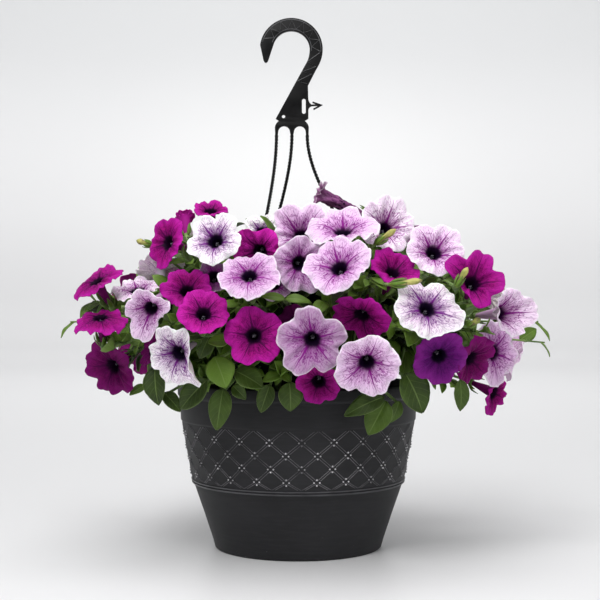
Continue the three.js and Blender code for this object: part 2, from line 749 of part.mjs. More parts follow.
function leafIsClear(base, tip, width, face) {
  const along = tip.clone().sub(base).normalize();
  const right = along.clone().cross(face).normalize();
  for (const [part, half] of [[0.22, 0.27], [0.44, 0.5], [0.7, 0.28], [1, 0]]) {
    for (const across of [-half, 0, half]) {
      const place = base.clone().lerp(tip, part).addScaledVector(right, across * width);
      if (!isClear(place, 2.8, null)) return false;
    }
  }
  return true;
}

// Leaves along a stem, each turned round it until it clears the flowers; one that finds no room is left off
function leavesAlong(from, to, parts, length, number) {
  const along = to.clone().sub(from).normalize();
  const side = along.clone().cross(UP).normalize();
  const top = side.clone().cross(along);
  const leaves = [];
  parts.forEach((part, i) => {
    const base = from.clone().lerp(to, part);
    const size = length * (1 + 0.18 * Math.sin(5 * number + 3 * i));
    for (let k = 0; k < 10; k += 1) {
      const turn = 2.1 * number + 2.4 * i + 0.63 * k;
      const lean = k < 5 ? 0.9 : 0.5;
      const way = along
        .clone()
        .multiplyScalar(Math.cos(lean))
        .addScaledVector(side, Math.sin(lean) * Math.cos(turn))
        .addScaledVector(top, Math.sin(lean) * Math.sin(turn));
      const tip = base.clone().addScaledVector(way, size);
      const face = along.clone().addScaledVector(UP, 0.8).normalize();
      if (leafIsClear(base, tip, 0.56 * size, face)) {
        leaves.push(leafGeometry(base, tip, 0.56 * size, face, SMALL_ROWS));
        break;
      }
    }
  });
  return leaves;
}

// Leaves that stand out of the core, spread over it in a spiral
const CORE_LEAVES = 36;

function coreLeaves() {
  const leaves = [];
  for (let i = 0; i < CORE_LEAVES; i += 1) {
    const level = 0.93 - (1.45 * (i + 0.5)) / CORE_LEAVES;
    const turn = 2.4 * i;
    const ring = Math.sqrt(1 - level * level);
    const outward = new THREE.Vector3(ring * Math.cos(turn), ring * Math.sin(turn), level);
    const base = new THREE.Vector3(CORE.width * outward.x, CORE.depth * outward.y, CORE.rise * outward.z)
      .multiplyScalar(0.8)
      .add(new THREE.Vector3(0, 0, CORE.height));
    const end = base.clone().addScaledVector(outward, 10);
    leaves.push(...leavesAlong(base, end, [0], 56, i));
  }
  return leaves;
}

// The leaves that show at the front: base, tip, width and which way the upper face looks
const FRONT_LEAVES = [
  [[-150, -150, 216], [-146, -152, 175], 26, [-0.4, -1, 0.4]],
  [[-142, -140, 188], [-124, -142, 168], 16, [0, -1, 0.6]],
  [[-94, -165, 203], [-122, -150, 171], 27, [-0.3, -1, 0.3]],
  [[-85, -190, 228], [-73, -190, 196], 30, [0, -1, 0.7]],
  [[-78, -160, 194], [-85, -158, 150], 24, [0, -1, 0.1]],
  [[-65, -178, 213], [-36, -176, 195], 26, [0.1, -1, 0.6]],
  [[-68, -165, 197], [-54, -165, 183], 14, [0, -1, 0.3]],
  [[-29, -165, 198], [-39, -163, 169], 18, [0, -1, 0.3]],
  [[-9, -168, 201], [-8, -165, 170], 26, [0.2, -1, 0.3]],
  [[90, -160, 185], [48, -165, 166], 22, [0, -1, 0.5]],
  [[92, -155, 180], [73, -158, 145], 28, [0, -1, 0.2]],
  [[106, -150, 180], [97, -150, 157], 14, [0.5, -1, 0.2]],
  [[111, -165, 210], [130, -160, 168], 34, [0.2, -1, 0.3]],
  [[168, -165, 203], [168, -160, 170], 18, [0.4, -1, 0.2]],
  [[-90, -162, 252], [-103, -156, 224], 20, [0, -1, 0.3]],
  [[-70, -200, 244], [-91, -200, 243], 15, [0, -1, 0.6]],
  [[-13, -212, 287], [-38, -215, 289], 9, [0, -1, 0.6]],
  [[-13, -212, 287], [13, -216, 284], 10, [0, -1, 0.6]],
  [[-164, -120, 194], [-180, -126, 184], 10, [0, -1, 0.6]],
];

// Young shoots that stand out of the mound, by the place of their tips
const SHOOTS = [
  [-246, -110, 262],
  [262, -96, 262],
  [276, -60, 238],
  [-60, 60, 378],
  [70, 40, 376],
  [-240, 60, 280],
  [190, 165, 300],
];

// Buds by base and tip
const BUDS = [
  [[-156, -128, 344], [-172, -131, 349]],
  [[79, -178, 343], [100, -184, 358]],
  [[91, -222, 301], [123, -226, 305]],
  [[157, -218, 299], [169, -218, 318]],
  [[172, -195, 259], [184, -202, 267]],
];

function growth() {
  const solids = [];
  for (let k = 0; k < CROWNS; k += 1) {
    solids.push(tube([crownPlace(k, CROWN_FOOT), crownPlace(k, 215)], [CROWN_RADIUS, CROWN_RADIUS], 6));
  }
  flowers.forEach((flower, i) => {
    const face = inPlace(flower, 0, 0, -TUBE_LENGTH - GAP);
    const neck = inPlace(flower, 0, 0, -TUBE_LENGTH - 9);
    const root = rootPlace(neck);
    const places = stemPlaces(root, neck, flower.side, flower.top, flower);
    solids.push(tube([...places, face], [...places.map(() => STEM_RADIUS), 4.2], STEM_SIDES));
    if (i % 2 === 0) solids.push(...leavesAlong(places[places.length - 2], neck, [0.75], 34, i));
  });
  for (const [base, tip, width, face] of FRONT_LEAVES) {
    const foot = new THREE.Vector3(...base);
    const point = new THREE.Vector3(...tip);
    const root = rootPlace(foot);
    const places = stemPlaces(root, foot, new THREE.Vector3(1, 0, 0), UP, null);
    places[places.length - 1] = foot.clone().lerp(point, 0.12);
    solids.push(tube(places, places.map(() => STEM_RADIUS), STEM_SIDES));
    solids.push(leafGeometry(foot, point, width, new THREE.Vector3(...face), LARGE_ROWS));
  }
  SHOOTS.forEach((place, i) => {
    const tip = new THREE.Vector3(...place);
    const root = rootPlace(tip);
    const places = stemPlaces(root, tip, new THREE.Vector3(0, 1, 0), UP, null);
    solids.push(tube(places, places.map(() => STEM_RADIUS), STEM_SIDES));
    solids.push(...leavesAlong(places[places.length - 2], tip, [0.6, 0.78, 0.96], 24, 3 * i));
  });
  for (const [base, tip] of BUDS) {
    const foot = new THREE.Vector3(...base);
    const point = new THREE.Vector3(...tip);
    const root = rootPlace(foot);
    const places = stemPlaces(root, foot, new THREE.Vector3(1, 0, 0), UP, null);
    const wide = foot.clone().lerp(point, 0.6);
    const radii = [...places.slice(1).map(() => STEM_RADIUS), 2.6, 3, 0.8];
    solids.push(tube([...places, wide, point], radii, STEM_SIDES));
  }
  solids.push(...coreLeaves());
  return geometryFrom(solids.map(solidOf).reduce((body, solid) => body.add(solid), coreSolid()));
}

addPart("growth", growth(), "foliage");

export default basket;
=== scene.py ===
import math

import bmesh
import bpy
import numpy as np
from mathutils import Matrix, Vector


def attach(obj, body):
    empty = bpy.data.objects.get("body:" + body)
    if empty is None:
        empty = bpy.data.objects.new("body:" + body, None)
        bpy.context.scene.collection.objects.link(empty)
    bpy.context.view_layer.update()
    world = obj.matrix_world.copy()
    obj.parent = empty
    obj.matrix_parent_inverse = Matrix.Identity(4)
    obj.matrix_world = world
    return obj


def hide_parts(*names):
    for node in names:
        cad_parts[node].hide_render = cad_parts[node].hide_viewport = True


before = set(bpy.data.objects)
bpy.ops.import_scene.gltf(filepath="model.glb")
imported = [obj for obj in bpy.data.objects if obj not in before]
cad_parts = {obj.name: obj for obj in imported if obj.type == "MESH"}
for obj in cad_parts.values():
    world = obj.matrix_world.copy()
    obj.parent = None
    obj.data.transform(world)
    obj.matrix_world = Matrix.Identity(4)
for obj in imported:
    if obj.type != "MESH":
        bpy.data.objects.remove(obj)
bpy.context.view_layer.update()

# Pot
# A round tapered pot, injection moulded in charcoal matt plastic, with a diamond lattice in relief
# round its upper half, a turned-over rim, five drain holes and three lugs for the hanger.

# Sizes are in millimetres, heights from the ground and azimuths in degrees
MM = 0.001
RIM_RADIUS = 140
POT_HEIGHT = 190
POT_FLOOR = 3
POT_SIDES = 192
BAND_RADII = [122.9, 135.0]
LATTICE_TURN = 1.7
LATTICE_COLUMNS = 48
LATTICE_STEP = 360 / LATTICE_COLUMNS
LATTICE_ROWS = [80.5, 89.9, 104.4, 118.9, 133.4, 147.5]
QUILT_RELIEF = 0.55
QUILT_BOTTOM = 81
QUILT_TOP = 147
QUILT_REACH = 2
WALL_INSIDE = 121.5
RIB_RADIUS = 0.34
RIB_SPACING = 0.105
RIB_GAP = 0.13
RIB_STEPS = 5
RIB_SIDES = 6
BEAD_RADIUS = 0.95
BEAD_SPACING = 3.1
BEAD_LIFT = 0.35
BEAD_LEAN = 0.08
LEDGES = [(75.6, 77.1), (78.9, 80.2)]
LEDGE_RADIUS = 122
DRAIN_HOLES = 5
DRAIN_RING = 62
DRAIN_RADIUS = 4
DRAIN_TURN = 18
LUG_RING = 126
LUG_TOP = 181
LUG_WASHER = [(2.7, 178.3), (3, 178), (6.6, 178), (7, 178.4)]
LUG_WASHER += [(7, 180.6), (6.6, 181), (3, 181), (2.7, 180.7)]
LUG_ARM = (5, 14, 2.9)
LUG_ARM_MIDDLE = (132.6, 0, 179.5)
STRAND_AZIMUTHS = [242, 122, 2]
LEDGE_PAINT = 3


def tint(red, green, blue):
    """The linear colour of a screen colour given from 0 to 255."""
    shares = [value / 255 for value in (red, green, blue)]
    return [s / 12.92 if s < 0.04045 else ((s + 0.055) / 1.055) ** 2.4 for s in shares]


def feed(socket, value):
    """Puts a number, a colour or another node's output into a socket."""
    if isinstance(value, bpy.types.NodeSocket):
        socket.id_data.links.new(value, socket)
    elif hasattr(value, "__len__") and len(value) == 3 and socket.type == "RGBA":
        socket.default_value = (*value, 1)
    else:
        socket.default_value = value


def add_node(tree, kind, inputs=None, **settings):
    """Adds a shader node with its settings and what its inputs take."""
    node = tree.nodes.new("ShaderNode" + kind)
    for name, value in settings.items():
        setattr(node, name, value)
    for name, value in (inputs or {}).items():
        feed(node.inputs[name], value)
    return node


def maths(operation, *values):
    """One step of arithmetic on numbers and what other nodes give."""
    tree = next(value.id_data for value in values if isinstance(value, bpy.types.NodeSocket))
    return add_node(tree, "Math", dict(enumerate(values)), operation=operation).outputs[0]


def times(first, second):
    return maths("MULTIPLY", first, second)


def plus(first, second):
    return maths("ADD", first, second)


def minus(first, second):
    return maths("SUBTRACT", first, second)


def ramp(value, low, high, start=0, end=1):
    """A smooth change from start to end while value runs from low to high."""
    inputs = {0: value, 1: low, 2: high, 3: start, 4: end}
    return add_node(value.id_data, "MapRange", inputs, interpolation_type="SMOOTHSTEP").outputs[0]


def blend_colours(share, first, second):
    """A colour between the first, at share 0, and the second, at share 1."""
    inputs = {"Factor": share, 6: first, 7: second}
    return add_node(share.id_data, "Mix", inputs, data_type="RGBA").outputs[2]


def object_place(material):
    """Where a point lies on the piece."""
    return add_node(material.node_tree, "TexCoord").outputs["Object"]


def three_parts(vector):
    """The three numbers of a vector."""
    return add_node(vector.id_data, "SeparateXYZ", {"Vector": vector}).outputs


def vector_of(x, y, z):
    """A vector of three numbers that nodes give."""
    return add_node(x.id_data, "CombineXYZ", {"X": x, "Y": y, "Z": z}).outputs[0]


def noise_at(place, scale, detail):
    """Even noise from 0 to 1."""
    inputs = {"Vector": place, "Scale": scale, "Detail": detail}
    return add_node(place.id_data, "TexNoise", inputs).outputs[0]


def object_noise(material, scale, detail=3):
    """Even noise that is fixed to the piece."""
    return noise_at(object_place(material), scale, detail)


def shader_of(material):
    return material.node_tree.nodes["Principled BSDF"]


def add_bump(material, height, strength, distance):
    """Gives the surface a fine relief."""
    inputs = {"Height": height, "Strength": strength, "Distance": distance}
    bump = add_node(material.node_tree, "Bump", inputs)
    feed(shader_of(material).inputs["Normal"], bump.outputs[0])


def new_material(name, colour, roughness, **shader_values):
    """A material whose colour and roughness may be plain or come from nodes put in later."""
    material = bpy.data.materials.new(name)
    material.use_nodes = True
    inputs = shader_of(material).inputs
    feed(inputs["Base Color"], colour)
    feed(inputs["Roughness"], roughness)
    for key, value in shader_values.items():
        inputs[key.replace("_", " ")].default_value = value
    return material


def base_colour(material, colour):
    feed(shader_of(material).inputs["Base Color"], colour)


def mottle(material, pattern, low, high, first, second):
    """Colours a surface from first to second while the pattern runs from low to high."""
    base_colour(material, blend_colours(ramp(pattern, low, high), first, second))


def place_piece(name, bm, nodes, materials):
    """Makes a bmesh drawn in millimetres a piece of the basket."""
    bmesh.ops.scale(bm, vec=(MM, MM, MM), verts=bm.verts)
    mesh = bpy.data.meshes.new(name)
    bm.to_mesh(mesh)
    bm.free()
    for material in materials:
        mesh.materials.append(material)
    mesh.shade_smooth()
    piece = bpy.data.objects.new(name, mesh)
    bpy.context.scene.collection.objects.link(piece)
    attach(piece, "root")
    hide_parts(*nodes)
    return piece


def draw_line(bm, points, closed=False):
    """Points joined by edges, to be spun or extruded."""
    verts = [bm.verts.new(point) for point in points]
    pairs = list(zip(verts, verts[1:]))
    if closed:
        pairs.append((verts[-1], verts[0]))
    edges = [bm.edges.new(pair) for pair in pairs]
    return verts, edges


def turn_profile(bm, profile, steps, closed=False, middle=(0, 0)):
    """A radius-and-height profile spun once round an upright line."""
    points = [(middle[0] + radius, middle[1], height) for radius, height in profile]
    verts, edges = draw_line(bm, points, closed)
    bmesh.ops.spin(
        bm,
        geom=verts + edges,
        cent=(*middle, 0),
        axis=(0, 0, 1),
        angle=2 * math.pi,
        steps=steps,
        use_merge=True,
    )


def join_part(bm, part):
    """Adds a small bmesh to a bigger one, which is quicker than working in the big one."""
    mesh = bpy.data.meshes.new("part")
    part.to_mesh(mesh)
    part.free()
    bm.from_mesh(mesh)
    bpy.data.meshes.remove(mesh)


def rod_rings(places):
    """Two directions across a rod at each of its places, turning as little as they can."""
    across = np.array([0.31, 0.87, 0.39])
    rings = []
    for i in range(len(places)):
        along = places[min(i + 1, len(places) - 1)] - places[max(i - 1, 0)]
        along = along / np.linalg.norm(along)
        across = across - along * np.dot(across, along)
        across = across / np.linalg.norm(across)
        rings.append((across, np.cross(along, across)))
    return rings


def stalk(bm, places, radii, sides):
    """A round rod through places, with its radius at each of them: a grid that is rolled up and
    closed at its ends."""
    places = [np.array(place, float) for place in places]
    rings = rod_rings(places)
    rows = len(places) + 1
    part = bmesh.new()
    bmesh.ops.create_grid(part, x_segments=sides, y_segments=rows, size=0.5)
    for vert in part.verts:
        turn = 2 * math.pi * (vert.co.x + 0.5)
        row = round((vert.co.y + 0.5) * rows)
        i = min(max(row - 1, 0), len(places) - 1)
        radius = radii[i] if 0 < row < rows else 0
        across, third = rings[i]
        sideways = across * (radius * math.cos(turn))
        vert.co = Vector(places[i] + sideways + third * (radius * math.sin(turn)))
    bmesh.ops.remove_doubles(part, verts=part.verts, dist=0.002)
    join_part(bm, part)


def on_ring(radius, azimuth, height):
    turn = math.radians(azimuth)
    return np.array([radius * math.cos(turn), radius * math.sin(turn), height])


def band_radius(height):
    """Radius of the lattice band before it is quilted."""
    return float(np.interp(height, [LATTICE_ROWS[0], LATTICE_ROWS[-1]], BAND_RADII))


def quilted(column, row):
    """Lattice coordinates to radius, direction and height: crossings are where column + row is even."""
    height = float(np.interp(row, range(len(LATTICE_ROWS)), LATTICE_ROWS))
    swell = 0.5 + 0.5 * math.cos(math.pi * column) * math.cos(math.pi * row)
    edge = min(1, 2 * row, 2 * (len(LATTICE_ROWS) - 1 - row))
    turn = math.radians(LATTICE_TURN - 90 + LATTICE_STEP * column)
    return band_radius(height) + QUILT_RELIEF * swell * max(edge, 0), turn, height


def on_pot(column, row):
    radius, turn, height = quilted(column, row)
    return (radius * math.cos(turn), radius * math.sin(turn), height)


def pot_shell(bm):
    """The wall, spun in one piece, then quilted where the lattice is."""
    lower = [(92.5, 0), (95.6, 0.25), (96.7, 1.2), (97.2, 3), (99.4, 11), (104.4, 26), (109.7, 42)]
    lower += [(115.3, 58), (120.9, 74.4), (122.6, 75.2), (123.6, 76.1), (123.7, 77.1), (122.9, 77.8)]
    lower += [(123.3, 78.5), (124.2, 79.3), (124.2, 80.2), (123.2, 80.9)]
    band_heights = np.linspace(82, 146, 33)
    band = [(band_radius(z), float(z)) for z in band_heights]
    upper = [(135.0, 147.2), (136.1, 147.9), (136.4, 149), (136.9, 162), (137.4, 174.6), (138.9, 175.6)]
    upper += [(139.8, 176.8), (140, 178.4), (139.9, 184), (139.6, 188.2), (139.1, 189.4), (138, 190)]
    inside = [(136, 190), (134.9, 189.4), (134.5, 188), (134, 176), (126.6, 126), (119.2, 76)]
    inside += [(106, 39), (94.2, 6), (93.2, 3.9), (91.4, 3)]
    turn_profile(bm, lower + band + upper + inside, POT_SIDES)
    for vert in bm.verts:
        radius = math.hypot(vert.co.x, vert.co.y)
        if QUILT_BOTTOM < vert.co.z < QUILT_TOP and radius > WALL_INSIDE:
            turn = math.degrees(math.atan2(vert.co.y, vert.co.x)) + 90 - LATTICE_TURN
            row = float(np.interp(vert.co.z, LATTICE_ROWS, range(len(LATTICE_ROWS))))
            wanted = quilted(turn / LATTICE_STEP, row)[0]
            if abs(wanted - radius) < QUILT_REACH:
                vert.co.x *= wanted / radius
                vert.co.y *= wanted / radius
    for face in bm.faces:
        place = face.calc_center_median()
        on_ledge = any(low < place.z < high for low, high in LEDGES)
        if on_ledge and math.hypot(place.x, place.y) > LEDGE_RADIUS:
            face.material_index = LEDGE_PAINT


def pot_floor(bm):
    """The drained floor: both faces filled round the holes, and the holes' walls bridged."""
    rims = {}
    for height in (0, POT_FLOOR):
        outer = [e for e in bm.edges if e.is_boundary and abs(e.verts[0].co.z - height) < 0.01]
        rims[height] = []
        for k in range(DRAIN_HOLES):
            middle = on_ring(DRAIN_RING, DRAIN_TURN + 360 * k / DRAIN_HOLES, height)
            ring = bmesh.ops.create_circle(
                bm,
                cap_ends=False,
                segments=24,
                radius=DRAIN_RADIUS,
                matrix=Matrix.Translation(Vector(middle)),
            )
            rims[height].append(list({e for v in ring["verts"] for e in v.link_edges}))
        loose = outer + [edge for rim in rims[height] for edge in rim]
        bmesh.ops.triangle_fill(bm, edges=loose, use_beauty=True, use_dissolve=False)
    for low, high in zip(rims[0], rims[POT_FLOOR]):
        bmesh.ops.bridge_loops(bm, edges=low + high)


def lattice_ribs(bm):
    """Pairs of thin ribs that climb the band both ways and stop short of each crossing."""
    for first in range(0, LATTICE_COLUMNS, 2):
        for way in (1, -1):
            for shift in (-RIB_SPACING, RIB_SPACING):
                for crossing in range(len(LATTICE_ROWS) - 1):
                    rows = np.linspace(crossing + RIB_GAP, crossing + 1 - RIB_GAP, RIB_STEPS)
                    places = [on_pot(first + way * row + shift, row) for row in rows]
                    stalk(bm, places, [RIB_RADIUS] * len(places), RIB_SIDES)


def lattice_beads(bm):
    """Four beads in a diamond on each crossing."""
    for row in range(1, len(LATTICE_ROWS) - 1):
        for column in range(row % 2, LATTICE_COLUMNS, 2):
            radius, turn, height = quilted(column, row)
            crossing = Matrix.Rotation(turn, 4, "Z") @ Matrix.Translation((radius + BEAD_LIFT, 0, height))
            for side, up in ((1, 0), (-1, 0), (0, 1), (0, -1)):
                away = (BEAD_LEAN * up * BEAD_SPACING, side * BEAD_SPACING, up * BEAD_SPACING)
                matrix = crossing @ Matrix.Translation(away)
                bmesh.ops.create_icosphere(bm, subdivisions=2, radius=BEAD_RADIUS, matrix=matrix)


def lugs(bm):
    """Round-ended holed lugs inside the rim, which the strands' feet snap through."""
    for azimuth in STRAND_AZIMUTHS:
        x, y, _ = on_ring(LUG_RING, azimuth, 0)
        turn_profile(bm, LUG_WASHER, 32, closed=True, middle=(x, y))
        arm = bmesh.ops.create_cube(bm, size=1)["verts"]
        turn = Matrix.Rotation(math.radians(azimuth), 3, "Z")
        bmesh.ops.scale(bm, vec=LUG_ARM, verts=arm)
        bmesh.ops.translate(bm, vec=LUG_ARM_MIDDLE, verts=arm)
        bmesh.ops.rotate(bm, cent=(0, 0, 0), matrix=turn, verts=arm)


def pot_plastic():
    """Charcoal polypropylene: fine moulded grain, faint flow marks and a little dust low down."""
    material = new_material("charcoal_plastic", tint(35, 35, 37), 0.5, Specular_IOR_Level=0.2)
    cloudy = object_noise(material, 14, 5)
    colour = blend_colours(ramp(cloudy, 0.3, 0.75), tint(30, 30, 32), tint(40, 40, 42))
    x, y, z = three_parts(object_place(material))
    flow = noise_at(vector_of(x, y, times(z, 9)), 38, 3)
    colour = blend_colours(ramp(flow, 0.4, 0.7, 0, 0.2), colour, tint(52, 52, 55))
    specks = ramp(object_noise(material, 420, 2), 0.74, 0.8)
    dust = times(specks, times(ramp(z, 0.0, 0.05, 1, 0), 0.55))
    base_colour(material, blend_colours(dust, colour, tint(120, 118, 112)))
    feed(shader_of(material).inputs["Roughness"], ramp(cloudy, 0.2, 0.8, 0.44, 0.58))
    grain = plus(object_noise(material, 900, 2), times(flow, 0.4))
    add_bump(material, grain, 0.18, 0.0004)
    return material


def painted_highlight_plastic(name, colour):
    """The same plastic painted lighter on the crests of the relief, as a painted highlight."""
    material = new_material(name, colour, 0.34)
    mottle(material, object_noise(material, 45), 0.3, 0.7, colour, tint(44, 43, 47))
    return material


# The lugs are as plain as the wall, and the ribs, beads and ledges each have a lighter colour that is a
# painted highlight
bm = bmesh.new()
pot_shell(bm)
pot_floor(bm)
for slot_number, add_detail in enumerate((lugs, lattice_ribs, lattice_beads)):
    detail = bmesh.new()
    add_detail(detail)
    for face in detail.faces:
        face.material_index = slot_number
    join_part(bm, detail)
bmesh.ops.recalc_face_normals(bm, faces=bm.faces)
# Painted highlights: the ribs, beads and ledges are coloured lighter than the wall
pot_materials = [
    pot_plastic(),
    painted_highlight_plastic("ribs_painted_highlight", tint(104, 102, 106)),
    painted_highlight_plastic("beads_painted_highlight", tint(222, 220, 224)),
    painted_highlight_plastic("ledge_painted_highlight", tint(70, 70, 73)),
]
pot = place_piece("pot_body", bm, ["pot"], pot_materials)
pot.data.set_sharp_from_angle(angle=math.radians(50))

# Potting mix
# Dark peat with bits of bark and white perlite, heaped a little in the middle and firmed at the wall.
# The main stems stand in it.

MIX_SIDES = 96
MIX_RINGS = 44
MIX_TOP = 171
MIX_EDGE = 162
CLOD_HEIGHT = 0.8


def mix_height(radius):
    return float(np.interp(radius, [0, 80, 128, 133], [MIX_TOP, 170, 165, 161]))


def clods(x, y):
    """The crumbled top of the mix, from -2 to 2."""
    broad = math.sin(0.31 * x + 1.7) * math.sin(0.27 * y)
    return broad + math.sin(0.9 * x) * math.sin(y)


def object_cells(material, scale):
    """How far a point is from the nearest of the grains that are strewn through the piece."""
    inputs = {"Vector": object_place(material), "Scale": scale}
    return add_node(material.node_tree, "TexVoronoi", inputs).outputs["Distance"]


def peat():
    material = new_material("peat", tint(43, 29, 20), 0.95)
    crumbs = object_noise(material, 260, 6)
    colour = blend_colours(ramp(crumbs, 0.35, 0.7), tint(24, 16, 11), tint(74, 52, 36))
    perlite = ramp(object_cells(material, 190), 0.10, 0.16, 1, 0)
    base_colour(material, blend_colours(perlite, colour, tint(214, 208, 196)))
    add_bump(material, crumbs, 0.9, 0.002)
    return material


bm = bmesh.new()
mix_profile = [(0, 3.4), (60, 3.4), (92.4, 3.6), (105.6, 39.5), (118.6, 76), (126, 126), (131.2, 160)]
mix_profile += [(radius, mix_height(radius)) for radius in np.linspace(130, 0, MIX_RINGS)]
turn_profile(bm, mix_profile, MIX_SIDES)
bmesh.ops.remove_doubles(bm, verts=bm.verts, dist=0.01)
for vert in bm.verts:
    if vert.co.z > MIX_EDGE:
        vert.co.z += CLOD_HEIGHT * clods(vert.co.x, vert.co.y)
bmesh.ops.recalc_face_normals(bm, faces=bm.faces)
place_piece("potting_mix_fill", bm, ["potting_mix"], [peat()])

# Hook
# One flat moulding of black plastic: the hook with its zig-zag stiffening ribs, a slotted and holed
# plate with an arrow-shaped catch, and a yoke of two arches whose three legs run on into the strands.

HOOK_HALF = 2.5
HOOK_EDGE = 0.4
HOOK_MIDDLE = (-8.2, 577.5)
HOOK_INNER = 21.5
HOOK_OUTER = 36.7
RIB_SINK = 0.1
EDGE_RIB = 0.45
EDGE_RIB_INSET = 2.1
ZIGZAG_RIB = 0.4
ZIGZAG_INSET = 2.6
ZIGZAG_START = 158
ZIGZAG_CORNERS = 15
ZIGZAG_STEP = 11.6
LEG_BOTTOM = 478
LEG_PLACES = [-25.4, -7.4, 10.5]


def arc(middle, radius, first, last, count):
    """Points of an arc, angles in degrees; radius may be a pair."""
    wide, high = radius if isinstance(radius, tuple) else (radius, radius)
    turns = [math.radians(first + (last - first) * k / count) for k in range(count + 1)]
    return [(middle[0] + wide * math.cos(t), middle[1] + high * math.sin(t)) for t in turns]


def curved(start, pull, end, count):
    """Points of a curve from start to end that is drawn towards pull, without its start."""
    parts = [(k + 1) / count for k in range(count)]
    return [
        tuple((1 - t) ** 2 * a + 2 * t * (1 - t) * b + t * t * c for a, b, c in zip(start, pull, end))
        for t in parts
    ]


def hook_outline():
    """The front view, from the right leg up over the bow and down to the left and middle legs."""
    outline = [(12, LEG_BOTTOM), (12.3, 486.5)]
    outline += curved((12.3, 486.5), (12, 491), (7.4, 494.4), 5)
    outline += [(11.8, 496.9), (11.8, 507.6)]
    outline += curved((11.8, 507.6), (12.4, 510.4), (15.4, 511.6), 4)
    outline += [(23.6, 512), (17.4, 508.6), (18.2, 507.2), (28.4, 512.9), (16.8, 516.9), (16.4, 515.5)]
    outline += [(21.6, 513.5), (15.4, 513.3)]
    outline += curved((15.4, 513.3), (12.6, 515), (11.7, 519.5), 4)
    outline += [(11.3, 535.5), (21.2, 555)]
    outline += curved((21.2, 555), (28.5, 566), (28.5, 577.5), 8)
    outline += arc(HOOK_MIDDLE, HOOK_OUTER, 0, 171.5, 48)[1:]
    outline += [(-40.6, 565)]
    outline += curved((-40.6, 565), (-38, 559.5), (-35.1, 564.6), 6)
    outline += arc(HOOK_MIDDLE, HOOK_INNER, 164, 0, 40)
    outline += curved((13.3, 577.5), (13, 567), (8.7, 560.5), 8)
    outline += [(-26.3, 496.7), (-22.5, 494.4)]
    outline += curved((-22.5, 494.4), (-27, 491), (-27.3, 486.5), 5)
    outline += [(-26.9, LEG_BOTTOM), (-23.9, LEG_BOTTOM)]
    outline += arc((-16.6, 481.5), (6.8, 6.7), 180, 0, 20)
    outline += [(-8.9, LEG_BOTTOM), (-5.9, LEG_BOTTOM)]
    outline += arc((1.8, 481.5), (6.8, 6.7), 180, 0, 20)
    outline += [(9, LEG_BOTTOM)]
    return outline


def flat_moulding(name, outlines, half, edge):
    """A flat plate with rounded edges and holes, drawn in a plane and stood upright."""
    curve = bpy.data.curves.new(name, "CURVE")
    curve.dimensions = "2D"
    curve.fill_mode = "BOTH"
    curve.extrude = (half - edge) * MM
    curve.bevel_depth = edge * MM
    curve.bevel_resolution = 2
    curve.offset = -edge * MM
    for outline in outlines:
        spline = curve.splines.new("POLY")
        spline.points.add(len(outline) - 1)
        for point, (x, z) in zip(spline.points, outline):
            point.co = (x * MM, z * MM, 0, 1)
        spline.use_cyclic_u = True
    flat = bpy.data.objects.new(name + "_flat", curve)
    bpy.context.scene.collection.objects.link(flat)
    mesh = bpy.data.meshes.new_from_object(flat)
    bpy.data.objects.remove(flat)
    mesh.transform(Matrix.Rotation(math.radians(90), 4, "X"))
    return mesh


def hook_ribs(bm):
    """Thin ribs on both faces: one along each edge of the arc and a zig-zag between them."""
    shank = [(24.9, 573.5), (10.2, 563), (20.5, 557.5), (4.4, 551.4), (15.7, 548.7), (-1.2, 540.5)]
    shank += [(10.2, 537.5)]
    for y in (-HOOK_HALF + RIB_SINK, HOOK_HALF - RIB_SINK):
        inner = arc(HOOK_MIDDLE, HOOK_INNER + EDGE_RIB_INSET, 160, -4, 40)
        outer = arc(HOOK_MIDDLE, HOOK_OUTER - EDGE_RIB_INSET, 165, -4, 44)
        zigzag = []
        for k in range(ZIGZAG_CORNERS):
            radius = HOOK_INNER + ZIGZAG_INSET if k % 2 else HOOK_OUTER - ZIGZAG_INSET
            turn = ZIGZAG_START - ZIGZAG_STEP * k
            zigzag += arc(HOOK_MIDDLE, radius, turn, turn, 1)[:1]
        lines = ((inner, EDGE_RIB), (outer, EDGE_RIB), (zigzag, ZIGZAG_RIB), (shank, ZIGZAG_RIB))
        for line, radius in lines:
            stalk(bm, [(x, y, z) for x, z in line], [radius] * len(line), RIB_SIDES)


def hanger_plastic():
    """Black polypropylene with a soft shine, a little scuffed."""
    material = new_material("black_plastic", tint(8, 8, 9), 0.42, Specular_IOR_Level=0.2)
    cloudy = object_noise(material, 60, 4)
    mottle(material, cloudy, 0.35, 0.7, tint(5, 5, 6), tint(12, 12, 13))
    feed(shader_of(material).inputs["Roughness"], ramp(cloudy, 0.3, 0.7, 0.34, 0.5))
    add_bump(material, object_noise(material, 700, 2), 0.12, 0.0003)
    return material


black_plastic = hanger_plastic()
slot_hole = arc((6.5, 504.7), 2.2, 180, 360, 10) + arc((6.5, 518.1), 2.2, 0, 180, 10)
eye_hole = arc((-17.2, 499.4), 2, 0, 345, 23)
hook_mesh = flat_moulding("hook_plate", [hook_outline(), slot_hole, eye_hole], HOOK_HALF, HOOK_EDGE)
bm = bmesh.new()
bm.from_mesh(hook_mesh)
bmesh.ops.scale(bm, vec=(1 / MM, 1 / MM, 1 / MM), verts=bm.verts)
bmesh.ops.remove_doubles(bm, verts=bm.verts, dist=0.005)
ribs_bm = bmesh.new()
hook_ribs(ribs_bm)
for face in ribs_bm.faces:
    face.material_index = 1
join_part(bm, ribs_bm)
# The hook's ribs are coloured lighter than the plate as a painted highlight
hook_materials = [black_plastic, painted_highlight_plastic("hook_ribs_painted_highlight", tint(92, 92, 94))]
hook = place_piece("hook_moulding", bm, ["hook"], hook_materials)
hook.data.set_sharp_from_angle(angle=math.radians(40))

# Strands
# Three stiff strands of the same black plastic, moulded to look like twisted rope. Each leaves its leg
# of the yoke, bows out over the flowers and snaps through a lug with a barbed foot.

